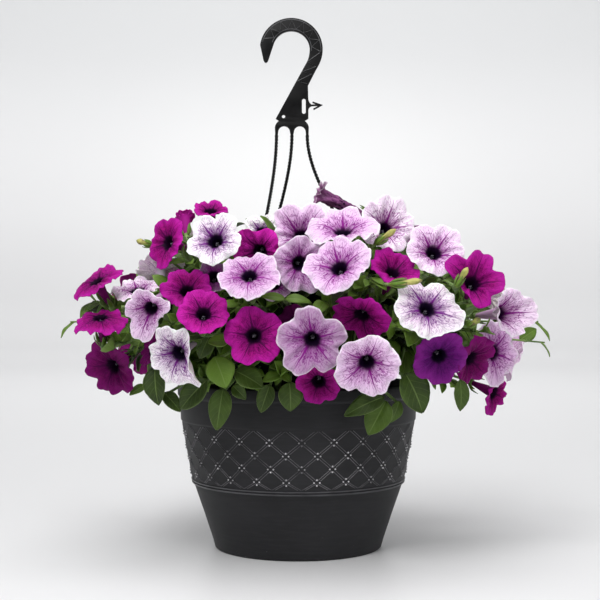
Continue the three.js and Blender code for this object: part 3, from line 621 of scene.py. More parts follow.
ROPE_OFFSET = 1.1
ROPE_RADIUS = 1.1
ROPE_PITCH = 7.7
ROPE_STEPS = 10
FOOT_PROFILE = [(0, 189.4), (1.5, 189), (1.9, 188.2), (1.9, 177.8), (4.2, 177.5), (4.4, 177.1)]
FOOT_PROFILE += [(2.5, 173.9), (0, 173.7)]
KNUCKLE_PROFILE = [(0, 480), (1.35, 480), (1.9, 477.5), (1.75, 471), (0, 470.5)]


def strand_curve(azimuth, leg_place):
    """The corners of the curve that a strand follows."""
    return [
        np.array([leg_place, 0, LEG_BOTTOM - 0.3]),
        np.array([leg_place, 0, 394]),
        on_ring(LUG_RING + 8, azimuth, 290),
        on_ring(LUG_RING, azimuth, LUG_TOP + 5),
    ]


def on_curve(corners, part):
    a, b, c, d = corners
    rest = 1 - part
    return rest**3 * a + 3 * rest**2 * part * b + 3 * rest * part**2 * c + part**3 * d


def along_curve(corners, count):
    return np.array([on_curve(corners, k / (count - 1)) for k in range(count)])


def rope(bm, corners):
    """Two thin rods twisted together along the strand's curve."""
    line = along_curve(corners, 400)
    travelled = np.concatenate([[0], np.cumsum(np.linalg.norm(np.diff(line, axis=0), axis=1))])
    stations = np.linspace(0, travelled[-1], round(travelled[-1] / ROPE_PITCH * ROPE_STEPS))
    centres = np.stack([np.interp(stations, travelled, line[:, axis]) for axis in range(3)], axis=1)
    rings = rod_rings(centres)
    for half in (0, 0.5):
        turns = 2 * math.pi * (stations / ROPE_PITCH + half)
        places = [
            centre + ROPE_OFFSET * (across * math.cos(turn) + third * math.sin(turn))
            for centre, (across, third), turn in zip(centres, rings, turns)
        ]
        stalk(bm, places, [ROPE_RADIUS] * len(places), 7)


strands = [strand_curve(azimuth, leg) for azimuth, leg in zip(STRAND_AZIMUTHS, LEG_PLACES)]
for corners, azimuth, leg, side in zip(strands, STRAND_AZIMUTHS, LEG_PLACES, ("left", "middle", "right")):
    bm = bmesh.new()
    rope(bm, corners)
    x, y, _ = on_ring(LUG_RING, azimuth, 0)
    turn_profile(bm, FOOT_PROFILE, 20, middle=(x, y))
    turn_profile(bm, KNUCKLE_PROFILE, 16, middle=(leg, 0))
    bmesh.ops.remove_doubles(bm, verts=bm.verts, dist=0.002)
    bmesh.ops.recalc_face_normals(bm, faces=bm.faces)
    place_piece("rope_" + side, bm, ["strand_" + side], [black_plastic])

# Flowers
# Single petunia blooms: five fused petals that flare from a narrow trumpet, soft and a little velvety,
# with ruffled edges, dark veins that fan out of the throat, five anthers and a stigma.

TUBE_LENGTH = 30
MOUTH_RADIUS = 5.5
LOBES = 5
EVEN = (1, 1, 1, 1, 1)
PETAL_STEPS = 100
PETAL_THICKNESS = 0.75
PETAL_DEPTH = 1.26
NOMINAL = 100
FILAMENT_FOOT = -27
FILAMENT_RADIUS = 0.28
ANTHER_REACH = 1.6
ANTHER_RADIUS = 0.75
STIGMA_RADIUS = 1.0
ANTHER_PAINT = 1

# Petal colour, throat, azimuth and elevation of the face, radius, roll, cup and notch of each bloom, and
# where it has them, the relative lengths of its lobes and a side bent forward or back
FLOWERS = [
    ("magenta", (-212, -145, 305), -45, 55, 30, 10, 0.08, 0.13, EVEN, (200, -0.15)),
    ("magenta", (-204, -174, 268), -5, 64, 28, 40, -0.15, 0.13),
    ("magenta", (-198, -118, 215), -33, -22, 32.5, -6, 0.3, 0.13),
    ("magenta", (-135, -160, 345), -45, 12, 27, 20, 0.23, 0.13, (1, 1, 0.95, 1.1, 0.95)),
    ("white", (-84, -187, 345), -15, 25, 30, 22, 0.3, 0.18),
    ("magenta", (-123, -100, 375), 190, 45, 11, 0, 0.3, 0.1),
    ("magenta", (-96, -90, 382), 5, 60, 19, 30, 0.3, 0.13),
    ("white", (-150, -98, 318), 200, 60, 27, 0, 0.25, 0.13),
    ("lavender", (-172, -124, 295), -20, 66, 28.5, 15, 0.2, 0.13),
    ("lavender", (-148, -196, 278), -18, -30, 26.5, -10, 0.45, 0.16, (1, 1, 0.95, 1.4, 0.5)),
    ("magenta", (-113, -190, 294), 0, 38, 26, 12, 0.35, 0.13),
    ("magenta", (-94, -220, 271), 6, 34, 26.3, 10, 0.3, 0.1),
    ("white", (-121, -190, 232), -32, -18, 31.5, 0, 0.4, 0.18, (1.3, 1, 1, 1, 1.35), (0, 0.8)),
    ("magenta", (-152, -148, 233), -60, 25, 20, 0, 0.25, 0.13),
    ("magenta", (-44, -218, 250), 0, 2, 30, -8, 0.2, 0.16),
    ("lavender", (-48, -228, 309), -5, 43, 31.5, 19, 0.13, 0.1),
    ("magenta", (-39, -175, 336), -20, -20, 29, 11, 0.35, 0.22),
    ("lavender", (1, -192, 323), 15, -5, 28, -13, 0.25, 0.12, (1, 1, 1, 1, 1.25)),
    ("lavender", (3, -138, 351), 0, 12, 30, 18, 0.5, 0.16, (1.25, 1.25, 0.9, 0.8, 0.9)),
    ("lavender", (46, -173, 354), -3, 60, 38.5, -18, 0.31, 0.1, EVEN, (180, -0.22)),
    ("lavender", (41, -228, 316), -15, 35, 35.5, 0, 0.28, 0.1, (1, 0.97, 1, 0.98, 0.78)),
    ("lavender", (50, -56, 392), -80, 24, 8.5, 0, 3.9, 0.1),
    ("lavender", (91, -133, 360), 14, 15, 31, 36, 0.55, 0.1, (1.12, 1, 0.95, 0.95, 0.95)),
    ("lavender", (139, -175, 333), 8, 28, 31, 12, 0.45, 0.1),
    ("magenta", (96, -186, 312), 20, 45, 26.5, 0, 0.48, 0.13),
    ("magenta", (175, -198, 301), 3, 27, 33.2, 30, 0.44, 0.27, (1, 1, 0.5, 0.97, 1)),
    ("white", (128, -218, 276), 12, 30, 35.5, 13, 0.15, 0.13, (0.95, 1, 0.97, 0.93, 1.08)),
    ("violet", (144, -180, 229), 14, -25, 30, 30, 0.3, 0.12),
    ("magenta", (180, -150, 225), 45, -24, 29, 0, 0.35, 0.13),
    ("magenta", (218, -60, 182), 50, -20, 19, 18, 0.35, 0.13, (1, 1, 1, 1.35, 1)),
    ("lavender", (210, -108, 229), 41, 0, 36.5, 16, 0.2, 0.13),
    ("lavender", (210, -138, 271), 40, 5, 28.3, -36, 0.8, 0.13, (1.45, 0.92, 0.85, 0.85, 0.92)),
    ("magenta", (64, -205, 271), -25, -43, 31, 20, 0.25, 0.13),
    ("lavender", (14, -226, 247), -5, -18, 35.2, -14, 0.28, 0.22, (1, 1.03, 1, 1.1, 1)),
    ("lavender", (68, -228, 225), 0, -25, 32.5, 36, 0.35, 0.1, (1, 1, 1.06, 1.06, 1)),
    ("magenta", (21, -184, 203), -5, -28, 23.5, 0, 0.35, 0.13),
    ("white", (-39, -112, 357), 0, 20, 23, 18, 0.2, 0.2),
    ("lavender", (-87, -172, 309), 0, 30, 20, 0, 0.16, 0.13),
    ("magenta", (-2, -186, 262), 0, 0, 20, 0, 0.16, 0.13),
    ("lavender", (-24, -192, 302), 0, 10, 18, 0, 0.16, 0.13),
]

# The far side: rows of blooms on the mound, each with its latitude, first azimuth, step and count
MOUND = {"width": 285, "depth": 228, "middle": 280, "rise": 128}
FAR_ROWS = [(36, 138, 42, 3), (4, 122, 26.5, 5), (-27, 96, 34, 5)]
FAR_COLOURS = ["lavender", "magenta", "white", "magenta", "lavender"]


def far_flowers():
    rows = []
    for row, (latitude, first, step, count) in enumerate(FAR_ROWS):
        for k in range(count):
            azimuth = first + k * step
            turn = math.radians(azimuth)
            reach = math.cos(math.radians(latitude))
            place = (
                MOUND["width"] * reach * math.sin(turn),
                -MOUND["depth"] * reach * math.cos(turn),
                MOUND["middle"] + MOUND["rise"] * math.sin(math.radians(latitude)),
            )
            colour = FAR_COLOURS[(k + 2 * row) % len(FAR_COLOURS)]
            face = (azimuth + 8 * (k % 2), latitude + 8 - 6 * (k % 3))
            rows.append((colour, place, *face, 33 + 2 * (k % 2), 25 * k, 0.16, 0.13))
    return rows


def flower_from(index, row):
    """A bloom's own axes and sizes."""
    colour, place, azimuth, elevation, radius, roll, cup, notch, *rest = row
    turn = math.radians(azimuth)
    rise = math.radians(elevation)
    facing = np.array([math.sin(turn) * math.cos(rise), -math.cos(turn) * math.cos(rise), math.sin(rise)])
    side = np.array([math.cos(turn), math.sin(turn), 0])
    bent_at, bend = rest[1] if len(rest) > 1 else (0, 0)
    return {
        "index": index,
        "colour": colour,
        "throat": np.array(place, float),
        "facing": facing,
        "side": side,
        "top": np.cross(facing, side),
        "radius": radius,
        "roll": math.radians(roll),
        "cup": cup,
        "notch": notch,
        "lobes": np.array(rest[0] if rest else EVEN, float),
        "bent_at": math.radians(bent_at),
        "bend": bend,
        "phase": 2.4 * index,
    }


flowers = [flower_from(index, row) for index, row in enumerate(FLOWERS + far_flowers())]
bloom = {key: np.array([flower[key] for flower in flowers]) for key in flowers[0] if key != "colour"}


def face_height(flower, part, angle):
    """Height of the petal face over the throat, part running from 0 there to 1 at the edge."""
    bent = flower["bend"] * np.maximum(0, np.cos(angle - flower["bent_at"])) ** 4
    waves = 0.03 * np.cos(2 * angle + flower["phase"]) + 0.035 * np.cos(3 * angle + 2 * flower["phase"])
    rise = flower["cup"] * (1.6 * part - 0.6 * part * part)
    return flower["radius"] * (rise + part * part * (waves + bent))


def edge_radius(flower, angle):
    """Radius of the petal edge at an angle: five lobes with a shallow notch between them."""
    turn = LOBES * (angle - flower["roll"]) / (2 * math.pi) - 0.5
    away = np.abs((np.expand_dims(turn, -1) - np.arange(LOBES) + LOBES / 2) % LOBES - LOBES / 2)
    share = np.clip(1 - away, 0, 1)
    length = np.sum(flower["lobes"] * share * share * (3 - 2 * share), axis=-1)
    notch = np.abs(np.cos(0.5 * LOBES * (angle - flower["roll"]))) ** 6
    return flower["radius"] * length * (1 - flower["notch"] * notch)


def in_place(flower, radius, angle, height):
    """Where a place given round the bloom's axis and over its throat lies on the plant."""
    sideways = np.multiply.outer(radius * np.cos(angle), flower["side"])
    upwards = np.multiply.outer(radius * np.sin(angle), flower["top"])
    return flower["throat"] + sideways + upwards + np.multiply.outer(height, flower["facing"])


def ruffle(flower, part, angle):
    """What makes a face a petal: a crease along each main vein, puffed halves, ruffles at the edge."""
    lobe = (angle - flower["roll"]) * LOBES / (2 * math.pi)
    from_vein = lobe - np.floor(lobe) - 0.5
    phase = flower["phase"]
    crease = -0.07 * part * np.exp(-((from_vein / 0.07) ** 2))
    pleat = -0.11 * part**2 * np.exp(-(((0.5 - np.abs(from_vein)) / 0.1) ** 2))
    puff = 0.05 * np.sin(math.pi * part) * np.cos(4 * math.pi * from_vein)
    waves = 0.052 * part**3 * np.sin(8 * angle + 3 * phase + 1.5 * np.sin(2 * angle + phase))
    waves += 0.022 * part**5 * np.sin(17 * angle + phase + np.sin(3 * angle))
    waves += 0.012 * part**8 * np.sin(31 * angle + 2 * phase)
    curl = -0.06 * part**6 * (1 + 0.8 * np.sin(2 * angle + phase))
    wilted = 2.6 if flower["cup"] > 1 else 1
    return wilted * flower["radius"] * (crease + pleat + puff + waves + curl)


def ragged(flower, part, angle):
    """The uneven, finely scalloped outline of the petal edge, as a share of its radius."""
    phase = flower["phase"]
    if flower["cup"] > 1:
        waves = 0.3 * np.sin(3 * angle + 6 * part) + 0.2 * np.sin(7 * angle - 9 * part)
        return 1 + part * waves + 0.7 * np.maximum(0, part - 0.8) / 0.2
    waves = 0.012 * np.sin(9 * angle + 2 * phase) + 0.009 * np.sin(17 * angle + 3 * phase)
    waves += 0.004 * np.sin(37 * angle + phase) + 0.022 * np.sin(4 * angle + 5 * phase)
    return 1 + part**3 * waves


FRONT_PARTS = [0.015, 0.04, 0.08, 0.14, 0.22, 0.32, 0.43, 0.55, 0.67, 0.78, 0.87, 0.94, 0.98, 1.0]
BACK_PARTS = [1.0, 0.96, 0.86, 0.72, 0.55, 0.36, 0.18, 0.06]


def outward(part):
    return MOUTH_RADIUS + part * (NOMINAL - MOUTH_RADIUS)


def bloom_profile():
    """The closed line that is spun, as radius, height and depth: the depth grows from 0 at the mouth
    down the inside of the trumpet, and is -1 on the back of the bloom."""
    line = [(1.2, -28, 2.2), (1.9, -22, 1.7), (2.9, -14, 1.1)]
    line += [(3.9, -7.5, 0.6), (4.7, -4, 0.3), (5.2, -2.4, 0.1)]
    line += [(outward(part), -1.6 * math.exp(-part / 0.06), 0) for part in FRONT_PARTS]
    line += [(outward(1.006), -PETAL_THICKNESS / 2, 0)]
    line += [(outward(part), -PETAL_THICKNESS - 0.5 * (1 - part), -1) for part in BACK_PARTS]
    neck = [(6.9, -2.6), (5.9, -7), (4.8, -13), (3.7, -20), (2.8, -27), (2.3, -30), (1.2, -30)]
    return line + [(radius, height, -1) for radius, height in neck]


spun_bloom = bmesh.new()
turn_profile(spun_bloom, [point[:2] for point in bloom_profile()], PETAL_STEPS, closed=True)
bmesh.ops.recalc_face_normals(spun_bloom, faces=spun_bloom.faces)
spun = np.array([vert.co for vert in spun_bloom.verts])
spun_radius = np.hypot(spun[:, 0], spun[:, 1])
spun_angle = np.arctan2(spun[:, 1], spun[:, 0])
spun_part = np.maximum(0, (spun_radius - MOUTH_RADIUS) / (NOMINAL - MOUTH_RADIUS))
profile_places = np.array([point[:2] for point in bloom_profile()])
profile_depths = np.array([point[2] for point in bloom_profile()])
offsets = np.stack([spun_radius, spun[:, 2]], axis=1)[:, None] - profile_places
spun_depth = profile_depths[np.argmin(np.linalg.norm(offsets, axis=2), axis=1)]

# How far each bloom of the table is painted lit (up to 1) or painted shaded (down to -1): mostly painted
# light and shade, partly its own paler or darker colour
TONES = [
    -0.1, -0.15, -0.7, 0.05, 0.1, 0.8, 0.15, 1, 0.8, 0.25,
    -0.1, 0.3, 0.1, -0.9, 0.15, -0.2, 1, -0.3, 0.2, 0.1,
    -0.1, -0.8, 1, 0.5, 0.1, -0.15, -0.15, 0, -0.6, -0.1,
    -0.05, 0.7, 0.2, -0.5, 0.2, -0.2, 1, -0.95, -0.95, -0.5,
]


def corolla(flower):
    """One bloom, shaped from a copy of the spun one, with its petals' own coordinates and tone."""
    bm = spun_bloom.copy()
    layer = bm.verts.layers.float_vector.new("bloom")
    tone_layer = bm.verts.layers.float.new("tone")
    edge = edge_radius(flower, spun_angle) * ragged(flower, spun_part, spun_angle)
    on_petal = MOUTH_RADIUS + spun_part * (edge - MOUTH_RADIUS)
    radius = np.where(spun_part > 0, on_petal, spun_radius)
    shape = face_height(flower, spun_part, spun_angle) + ruffle(flower, spun_part, spun_angle)
    height = spun[:, 2] + np.where(spun_part > 0, shape, 0)
    if flower["cup"] > 1:
        creases = 0.16 * np.sin(4 * spun_angle + 0.2 * height)
        creases += 0.12 * np.sin(7 * spun_angle - 0.35 * height)
        radius = radius * (1 + creases)
    places = in_place(flower, radius, spun_angle, height)
    rolled = spun_angle - flower["roll"]
    across, up = spun_part * np.cos(rolled), spun_part * np.sin(rolled)
    tone = TONES[flower["index"]] if flower["index"] < len(TONES) else 0.3 * math.sin(flower["phase"])
    for i, vert in enumerate(bm.verts):
        vert.co = Vector(places[i])
        vert[layer] = Vector((across[i], up[i], spun_depth[i]))
        vert[tone_layer] = tone
    return bm


def stamens(flower):
    """Five anthers on their filaments round the stigma, deep in the throat."""
    bm = bmesh.new()
    for k in range(LOBES + 1):
        turn = flower["roll"] + 2 * math.pi * k / LOBES + 0.4
        if k < LOBES:
            reach, height, radius = ANTHER_REACH, -5.2 - 0.8 * (k % 3), ANTHER_RADIUS
        else:
            reach, height, radius = 0, -4.0, STIGMA_RADIUS
        head = in_place(flower, reach, turn, height)
        foot = in_place(flower, 0.3 * reach, turn, FILAMENT_FOOT)
        stalk(bm, [foot, head], [FILAMENT_RADIUS] * 2, 4)
        matrix = Matrix.Translation(Vector(head))
        bmesh.ops.create_icosphere(bm, subdivisions=1, radius=radius, matrix=matrix)
    for face in bm.faces:
        face.material_index = ANTHER_PAINT
    return bm


def mesh_value(material, name, output):
    """A value that the piece's own mesh carries."""
    return add_node(material.node_tree, "Attribute", attribute_name=name).outputs[output]


def petal_material(name, colours, strengths):
    """Petal tissue: a dark round throat in a halo, five main veins, and fine ones that fan out and fade, on
    a ground painted lit or painted shaded by the bloom's tone.
    The strengths are those of the main veins, the fine veins, the halo and the pale rim, which is a painted
    highlight, and how much light comes through."""
    face, edge, vein, throat, back, lit, shade = colours
    main_strength, fine_strength, halo_strength, rim_highlight_strength, translucence = strengths
    material = new_material(
        name,
        face,
        0.6,
        Subsurface_Weight=translucence,
        Subsurface_Radius=(0.003, 0.001, 0.0025),
        Subsurface_Scale=1,
        Specular_IOR_Level=0.06,
    )
    x, y, depth = three_parts(mesh_value(material, "bloom", "Vector"))
    tone = mesh_value(material, "tone", "Fac")
    part = maths("SQRT", plus(times(x, x), times(y, y)))
    wobble = minus(object_noise(material, 110), 0.5)
    # Five main veins, wide at the throat and thin at the edge
    lobe = plus(times(maths("ARCTAN2", y, x), LOBES / (2 * math.pi)), times(wobble, 0.05))
    from_vein = maths("ABSOLUTE", minus(maths("FRACT", lobe), 0.5))
    width = ramp(part, 0.1, 0.9, 0.026, 0.011)
    main = ramp(maths("DIVIDE", times(from_vein, part), width), 0.3, 1.0, 1, 0)
    main = times(main, ramp(part, 0.5, 1.0, main_strength, 0.3 * main_strength))
    # Fine veins: thin winding lines of noise drawn out along the radius, in two sizes
    length = maths("MAXIMUM", part, 0.01)
    ways = [maths("DIVIDE", value, length) for value in (x, y)]
    fine = 0
    for count, thickness in ((6, 0.034), (11, 0.05)):
        place = vector_of(times(ways[0], count), times(ways[1], count), times(part, 3.4))
        ridge = maths("ABSOLUTE", minus(noise_at(place, 1, 1), 0.5))
        fine = maths("MAXIMUM", fine, ramp(ridge, 0.012, thickness, 1, 0))
    fade = ramp(part, 0.25, 1.0, min(1, 1.25 * fine_strength), 0.3 * fine_strength)
    veins = maths("MAXIMUM", main, times(fine, fade))
    # Ground colour with this bloom's painted light or painted shade, then the veins, the halo, the rim's
    # painted highlight and the throat
    cloudy = ramp(object_noise(material, 45, 2), 0.35, 0.68)
    ground = blend_colours(times(cloudy, 0.5), face, edge)
    ground = blend_colours(ramp(part, 0.5, 1.0), ground, edge)
    # The bloom's tone paints the ground with painted shade below 0 and painted light above 0
    painted_shade_share = maths("MAXIMUM", times(tone, -1), 0)
    painted_lit_share = maths("MAXIMUM", tone, 0)
    ground = blend_colours(painted_lit_share, blend_colours(painted_shade_share, ground, shade), lit)
    colour = blend_colours(veins, ground, vein)
    halo = ramp(plus(part, times(wobble, 0.25)), 0.14, 0.6, halo_strength, 0)
    colour = blend_colours(halo, colour, vein)
    # The pale rim is a painted highlight along the petal edge
    rim = times(ramp(part, 0.92, 0.99), rim_highlight_strength)
    colour = blend_colours(rim, colour, tint(252, 248, 252))
    mouth = ramp(plus(part, times(wobble, 0.1)), 0.04, 0.22, 1, 0)
    colour = blend_colours(mouth, colour, throat)
    colour = blend_colours(ramp(depth, 0.0, 0.15), colour, throat)
    # The back of the bloom, plainer, with the same painted light or shade and fainter veins
    behind_colour = blend_colours(painted_lit_share, blend_colours(painted_shade_share, back, shade), lit)
    behind_colour = blend_colours(times(veins, 0.55), behind_colour, vein)
    base_colour(material, blend_colours(ramp(depth, -0.75, -0.4, 1, 0), colour, behind_colour))
    add_bump(material, times(veins, -1), 0.35, 0.0006)
    return material


def stamen_material():
    material = new_material("anthers", tint(96, 92, 110), 0.7)
    mottle(material, object_noise(material, 700, 2), 0.4, 0.6, tint(112, 106, 118), tint(58, 56, 66))
    return material


# Of each kind: the face, its edge, veins, throat, back, and the same ground painted lit and painted shaded;
# then the strengths of its main veins, fine veins, halo and rim, which is a painted highlight, and how much
# light comes through
PETAL_KINDS = {
    "magenta": (
        [(146, 12, 108), (168, 24, 142), (66, 0, 58), (22, 0, 26), (128, 26, 106)],
        [(196, 36, 162), (74, 8, 62)],
        (0.95, 0.62, 0.45, 0, 0.1),
    ),
    "lavender": (
        [(216, 168, 216), (230, 202, 230), (124, 26, 122), (18, 2, 28), (202, 168, 200)],
        [(246, 226, 245), (128, 88, 128)],
        (1, 0.8, 0.55, 0.4, 0.25),
    ),
    "white": (
        [(224, 204, 224), (242, 234, 241), (102, 26, 116), (14, 2, 26), (224, 218, 212)],
        [(251, 247, 248), (150, 120, 140)],
        (1, 0.85, 0.7, 0.8, 0.25),
    ),
    "wilted": (
        [(158, 112, 150), (206, 176, 200), (78, 22, 74), (40, 10, 44), (156, 100, 146)],
        [(190, 160, 186), (138, 80, 128)],
        (1, 0.9, 0.5, 0.3, 0.1),
    ),
    "violet": (
        [(104, 22, 114), (128, 34, 132), (48, 4, 66), (14, 2, 26), (90, 26, 100)],
        [(120, 24, 150), (50, 6, 70)],
        (0.5, 0.4, 0.4, 0, 0.1),
    ),
}
petals = {
    kind: petal_material(kind + "_petal", [tint(*colour) for colour in colours + grounds], strengths)
    for kind, (colours, grounds, strengths) in PETAL_KINDS.items()
}
anther_material = stamen_material()

for flower in flowers:
    bm = corolla(flower)
    join_part(bm, stamens(flower))
    number = f"{flower['index'] + 1:02d}"
    materials = [petals["wilted" if flower["cup"] > 1 else flower["colour"]], anther_material]
    place_piece("bloom_" + number, bm, ["flower_" + number], materials)

# Growth
# The green of the plants: five main stems that root in the mix, a dense mound of soft leaves, a stem
# with fine hairs and a five-pointed calyx behind each bloom, young shoots and a few closed buds.

CORE_MIDDLE = np.array([0, 0, 262])
CORE_SIZE = [185, 152, 84]
ROOT_DEPTH = 0.86
CROWNS = 5
CROWN_RING = 56
CROWN_FOOT = 138
NECK = TUBE_LENGTH + 9
STEM_RADIUS = 1.5
STEM_SIDES = 7
STEM_MARGIN = 3
STRAND_REACH = 4.6
WALL_INSET = 7
LEAF_MARGIN = 2.8
LEAF_WIDTH = 0.56
LEAF_TRIES = 10
SIDE_VEINS = 6
HAIR_FROM = 0.97
HAIR_STEP = 0.7
HAIR_LENGTH = 1.3
HAIR_RADIUS = 0.09
UP = np.array([0.0, 0.0, 1.0])
strand_points = np.concatenate([along_curve(corners, 41) for corners in strands])


def unit(vector):
    return vector / np.linalg.norm(vector)


def axes_across(along, upright=UP):
    """Two directions across a line."""
    side = unit(np.cross(along, upright))
    return side, np.cross(side, along)


def neck_of(flower):
    """The foot of the bloom's trumpet, where its stem ends."""
    return in_place(flower, 0, 0, -NECK)


def near_pot(place, margin):
    """True within the margin of the pot or of the mix in it."""
    reach = math.hypot(place[0], place[1])
    if place[2] > POT_HEIGHT + margin:
        return False
    if place[2] > MIX_TOP + margin and reach < RIM_RADIUS - WALL_INSET - margin:
        return False
    return reach < RIM_RADIUS + margin


def near_strand(place, margin):
    return np.min(np.linalg.norm(strand_points - place, axis=1)) < STRAND_REACH + margin


def near_flower(place, margin, own):
    """True within the margin of any bloom but one's own."""
    away = place - bloom["throat"]
    height = np.einsum("ij,ij->i", away, bloom["facing"])
    x = np.einsum("ij,ij->i", away, bloom["side"])
    y = np.einsum("ij,ij->i", away, bloom["top"])
    reach = np.hypot(x, y)
    along = np.clip(1 + height / TUBE_LENGTH, 0, 1)
    in_tube = (height < margin) & (height > -TUBE_LENGTH - margin)
    in_tube &= reach < 2.4 + (MOUTH_RADIUS - 1.2) * along + margin
    angle = np.arctan2(y, x)
    edge = edge_radius(bloom, angle)
    part = np.clip((reach - MOUTH_RADIUS) / (edge - MOUTH_RADIUS), 0, 1)
    face = face_height(bloom, part, angle)
    on_face = (reach <= edge + margin) & (height < face + margin) & (height > face - PETAL_DEPTH - margin)
    near = in_tube | on_face
    if own is not None:
        near[own] = False
    return bool(near.any())


def is_clear(place, margin, own=None):
    return not (near_pot(place, margin) or near_strand(place, margin) or near_flower(place, margin, own))


def line_is_clear(start, end, margin, own):
    steps = math.ceil(np.linalg.norm(end - start) / 5)
    return all(is_clear(start + (end - start) * k / steps, margin, own) for k in range(steps + 1))


def root_place(goal):
    """The place inside the mound that a stem grows from, in line with where it goes."""
    away = goal - CORE_MIDDLE
    return CORE_MIDDLE + away * ROOT_DEPTH / np.linalg.norm(away / CORE_SIZE)


def stem_places(root, end, side, top, own):
    """Straight where that is clear of the blooms, and else by the first clear bend."""
    if line_is_clear(end, root, STEM_MARGIN, own):
        return [root, end]
    straight = root + (end - root) * 0.55
    for reach in (10, 20, 30, 42, 54):
        for k in range(8):
            turn = math.pi * k / 4
            bend = straight + top * (reach * math.cos(turn)) + side * (reach * math.sin(turn))
            legs = ((end, bend), (bend, root))
            if all(line_is_clear(*leg, STEM_MARGIN, own) for leg in legs):
                return [root, bend, end]
    return [root, end]


def free_stem(place, side=(1.0, 0, 0)):
    """The places of a stem that carries no bloom."""
    return stem_places(root_place(place), place, np.array(side), UP, None)


def leaf_is_clear(base, tip, width, face):
    across = unit(np.cross(unit(tip - base), face))
    for part, half in ((0.22, 0.27), (0.44, 0.5), (0.7, 0.28), (1, 0)):
        for side in (-half, 0, half):
            if not is_clear(base + (tip - base) * part + across * side * width, LEAF_MARGIN):
                return False
    return True


leaf_rows = []


def leaves_along(start, end, parts, length, number, light=0):
    """Leaves on a stem, each turned round it until it clears the blooms; without room it is left off.
    Their own light is spread from the one given up to 1."""
    along = unit(end - start)
    side, top = axes_across(along)
    face = unit(along + UP * 0.8)
    for i, part in enumerate(parts):
        base = start + (end - start) * part
        size = length * (1 + 0.18 * math.sin(5 * number + 3 * i))
        for k in range(LEAF_TRIES):
            turn = 2.1 * number + 2.4 * i + 0.63 * k
            lean = 0.9 if k < LEAF_TRIES / 2 else 0.5
            around = side * math.cos(turn) + top * math.sin(turn)
            tip = base + (along * math.cos(lean) + around * math.sin(lean)) * size
            if leaf_is_clear(base, tip, LEAF_WIDTH * size, face):
                own_light = light + (1 - light) * (0.37 * len(leaf_rows) % 1)
                leaf_rows.append((base, tip, LEAF_WIDTH * size, face, own_light))
                break


def core_leaves(count, length, reach, first, highest=0.93, lowest=-0.52):
    """Leaves that stand out of the mound, spread in a spiral between two levels of it."""
    for i in range(count):
        level = highest - (highest - lowest) * (i + 0.5) / count
        turn = 2.4 * i + first
        ring = math.sqrt(1 - level * level)
        away = np.array([ring * math.cos(turn), ring * math.sin(turn), level])
        base = away * reach * CORE_SIZE + CORE_MIDDLE
        leaves_along(base, base + away * 10, [0], length, i)


# The leaves that show at the front: base, tip, width, which way the upper face looks, and how light it is
FRONT_LEAVES = [
    ((-150, -150, 216), (-146, -152, 175), 26, (-0.4, -1, 0.4), 0.1),
    ((-142, -140, 188), (-124, -142, 168), 16, (0, -1, 0.6), 0.15),
    ((-94, -165, 203), (-122, -150, 171), 27, (-0.3, -1, 0.3), 0.2),
    ((-85, -190, 228), (-73, -190, 196), 30, (0, -1, 0.7), 0.85),
    ((-78, -160, 194), (-85, -158, 150), 24, (0, -1, 0.1), 0.3),
    ((-65, -178, 213), (-36, -176, 195), 26, (0.1, -1, 0.6), 0.35),
    ((-68, -165, 197), (-54, -165, 183), 14, (0, -1, 0.3), 0.3),
    ((-29, -165, 198), (-39, -163, 169), 18, (0, -1, 0.3), 0.2),
    ((-9, -168, 201), (-8, -165, 170), 26, (0.2, -1, 0.3), 0.3),
    ((90, -160, 185), (48, -165, 166), 22, (0, -1, 0.5), 0.15),
    ((92, -155, 180), (73, -158, 145), 28, (0, -1, 0.2), 0.45),
    ((106, -150, 180), (97, -150, 157), 14, (0.5, -1, 0.2), 0.4),
    ((111, -165, 210), (130, -160, 168), 34, (0.2, -1, 0.3), 0.2),
    ((168, -165, 203), (168, -160, 170), 18, (0.4, -1, 0.2), 0.3),
    ((-90, -162, 252), (-103, -156, 224), 20, (0, -1, 0.3), 0.3),
    ((-70, -200, 244), (-91, -200, 243), 15, (0, -1, 0.6), 0.95),
    ((-13, -212, 287), (-38, -215, 289), 9, (0, -1, 0.6), 0.7),
    ((-13, -212, 287), (13, -216, 284), 10, (0, -1, 0.6), 0.6),
    ((-164, -120, 194), (-180, -126, 184), 10, (0, -1, 0.6), 0.4),
]

# Young shoots and small sprigs by the place of their tips, and buds by base and tip
SHOOTS = [
    (-246, -110, 262),
    (262, -96, 262),
    (276, -60, 238),
    (-60, 60, 378),
    (70, 40, 376),
    (-240, 60, 280),
    (190, 165, 300),
]
SPRIGS = [
    (74, -204, 308),
    (98, -196, 262),
    (60, -190, 294),
    (-218, -135, 284),
    (-196, -140, 240),
    (-118, -158, 327),
    (-132, -190, 262),
    (160, -158, 200),
    (150, -196, 306),
    (28, -196, 284),
    (200, -150, 252),
    (-60, -196, 282),
    (-112, -132, 208),
    (-128, -100, 206),
    (122, -122, 206),
    (62, -170, 206),
    (-48, -154, 206),
    (-18, -160, 208),
    (24, -162, 208),
    (-104, -112, 203),
    (-112, -70, 204),
    (-100, -140, 205),
]
BUDS = [
    ((-156, -128, 344), (-172, -131, 349)),
    ((79, -178, 343), (100, -184, 358)),
    ((91, -222, 301), (123, -226, 305)),
    ((157, -218, 299), (169, -218, 318)),
    ((172, -195, 259), (184, -202, 267)),
]


def leaf_outline(part):
    """Half the width of a leaf at a place along it, as a share of its full half width."""
    return max(0.035, math.sin(math.pi * min(part, 0.999) ** 0.78) ** 0.72)


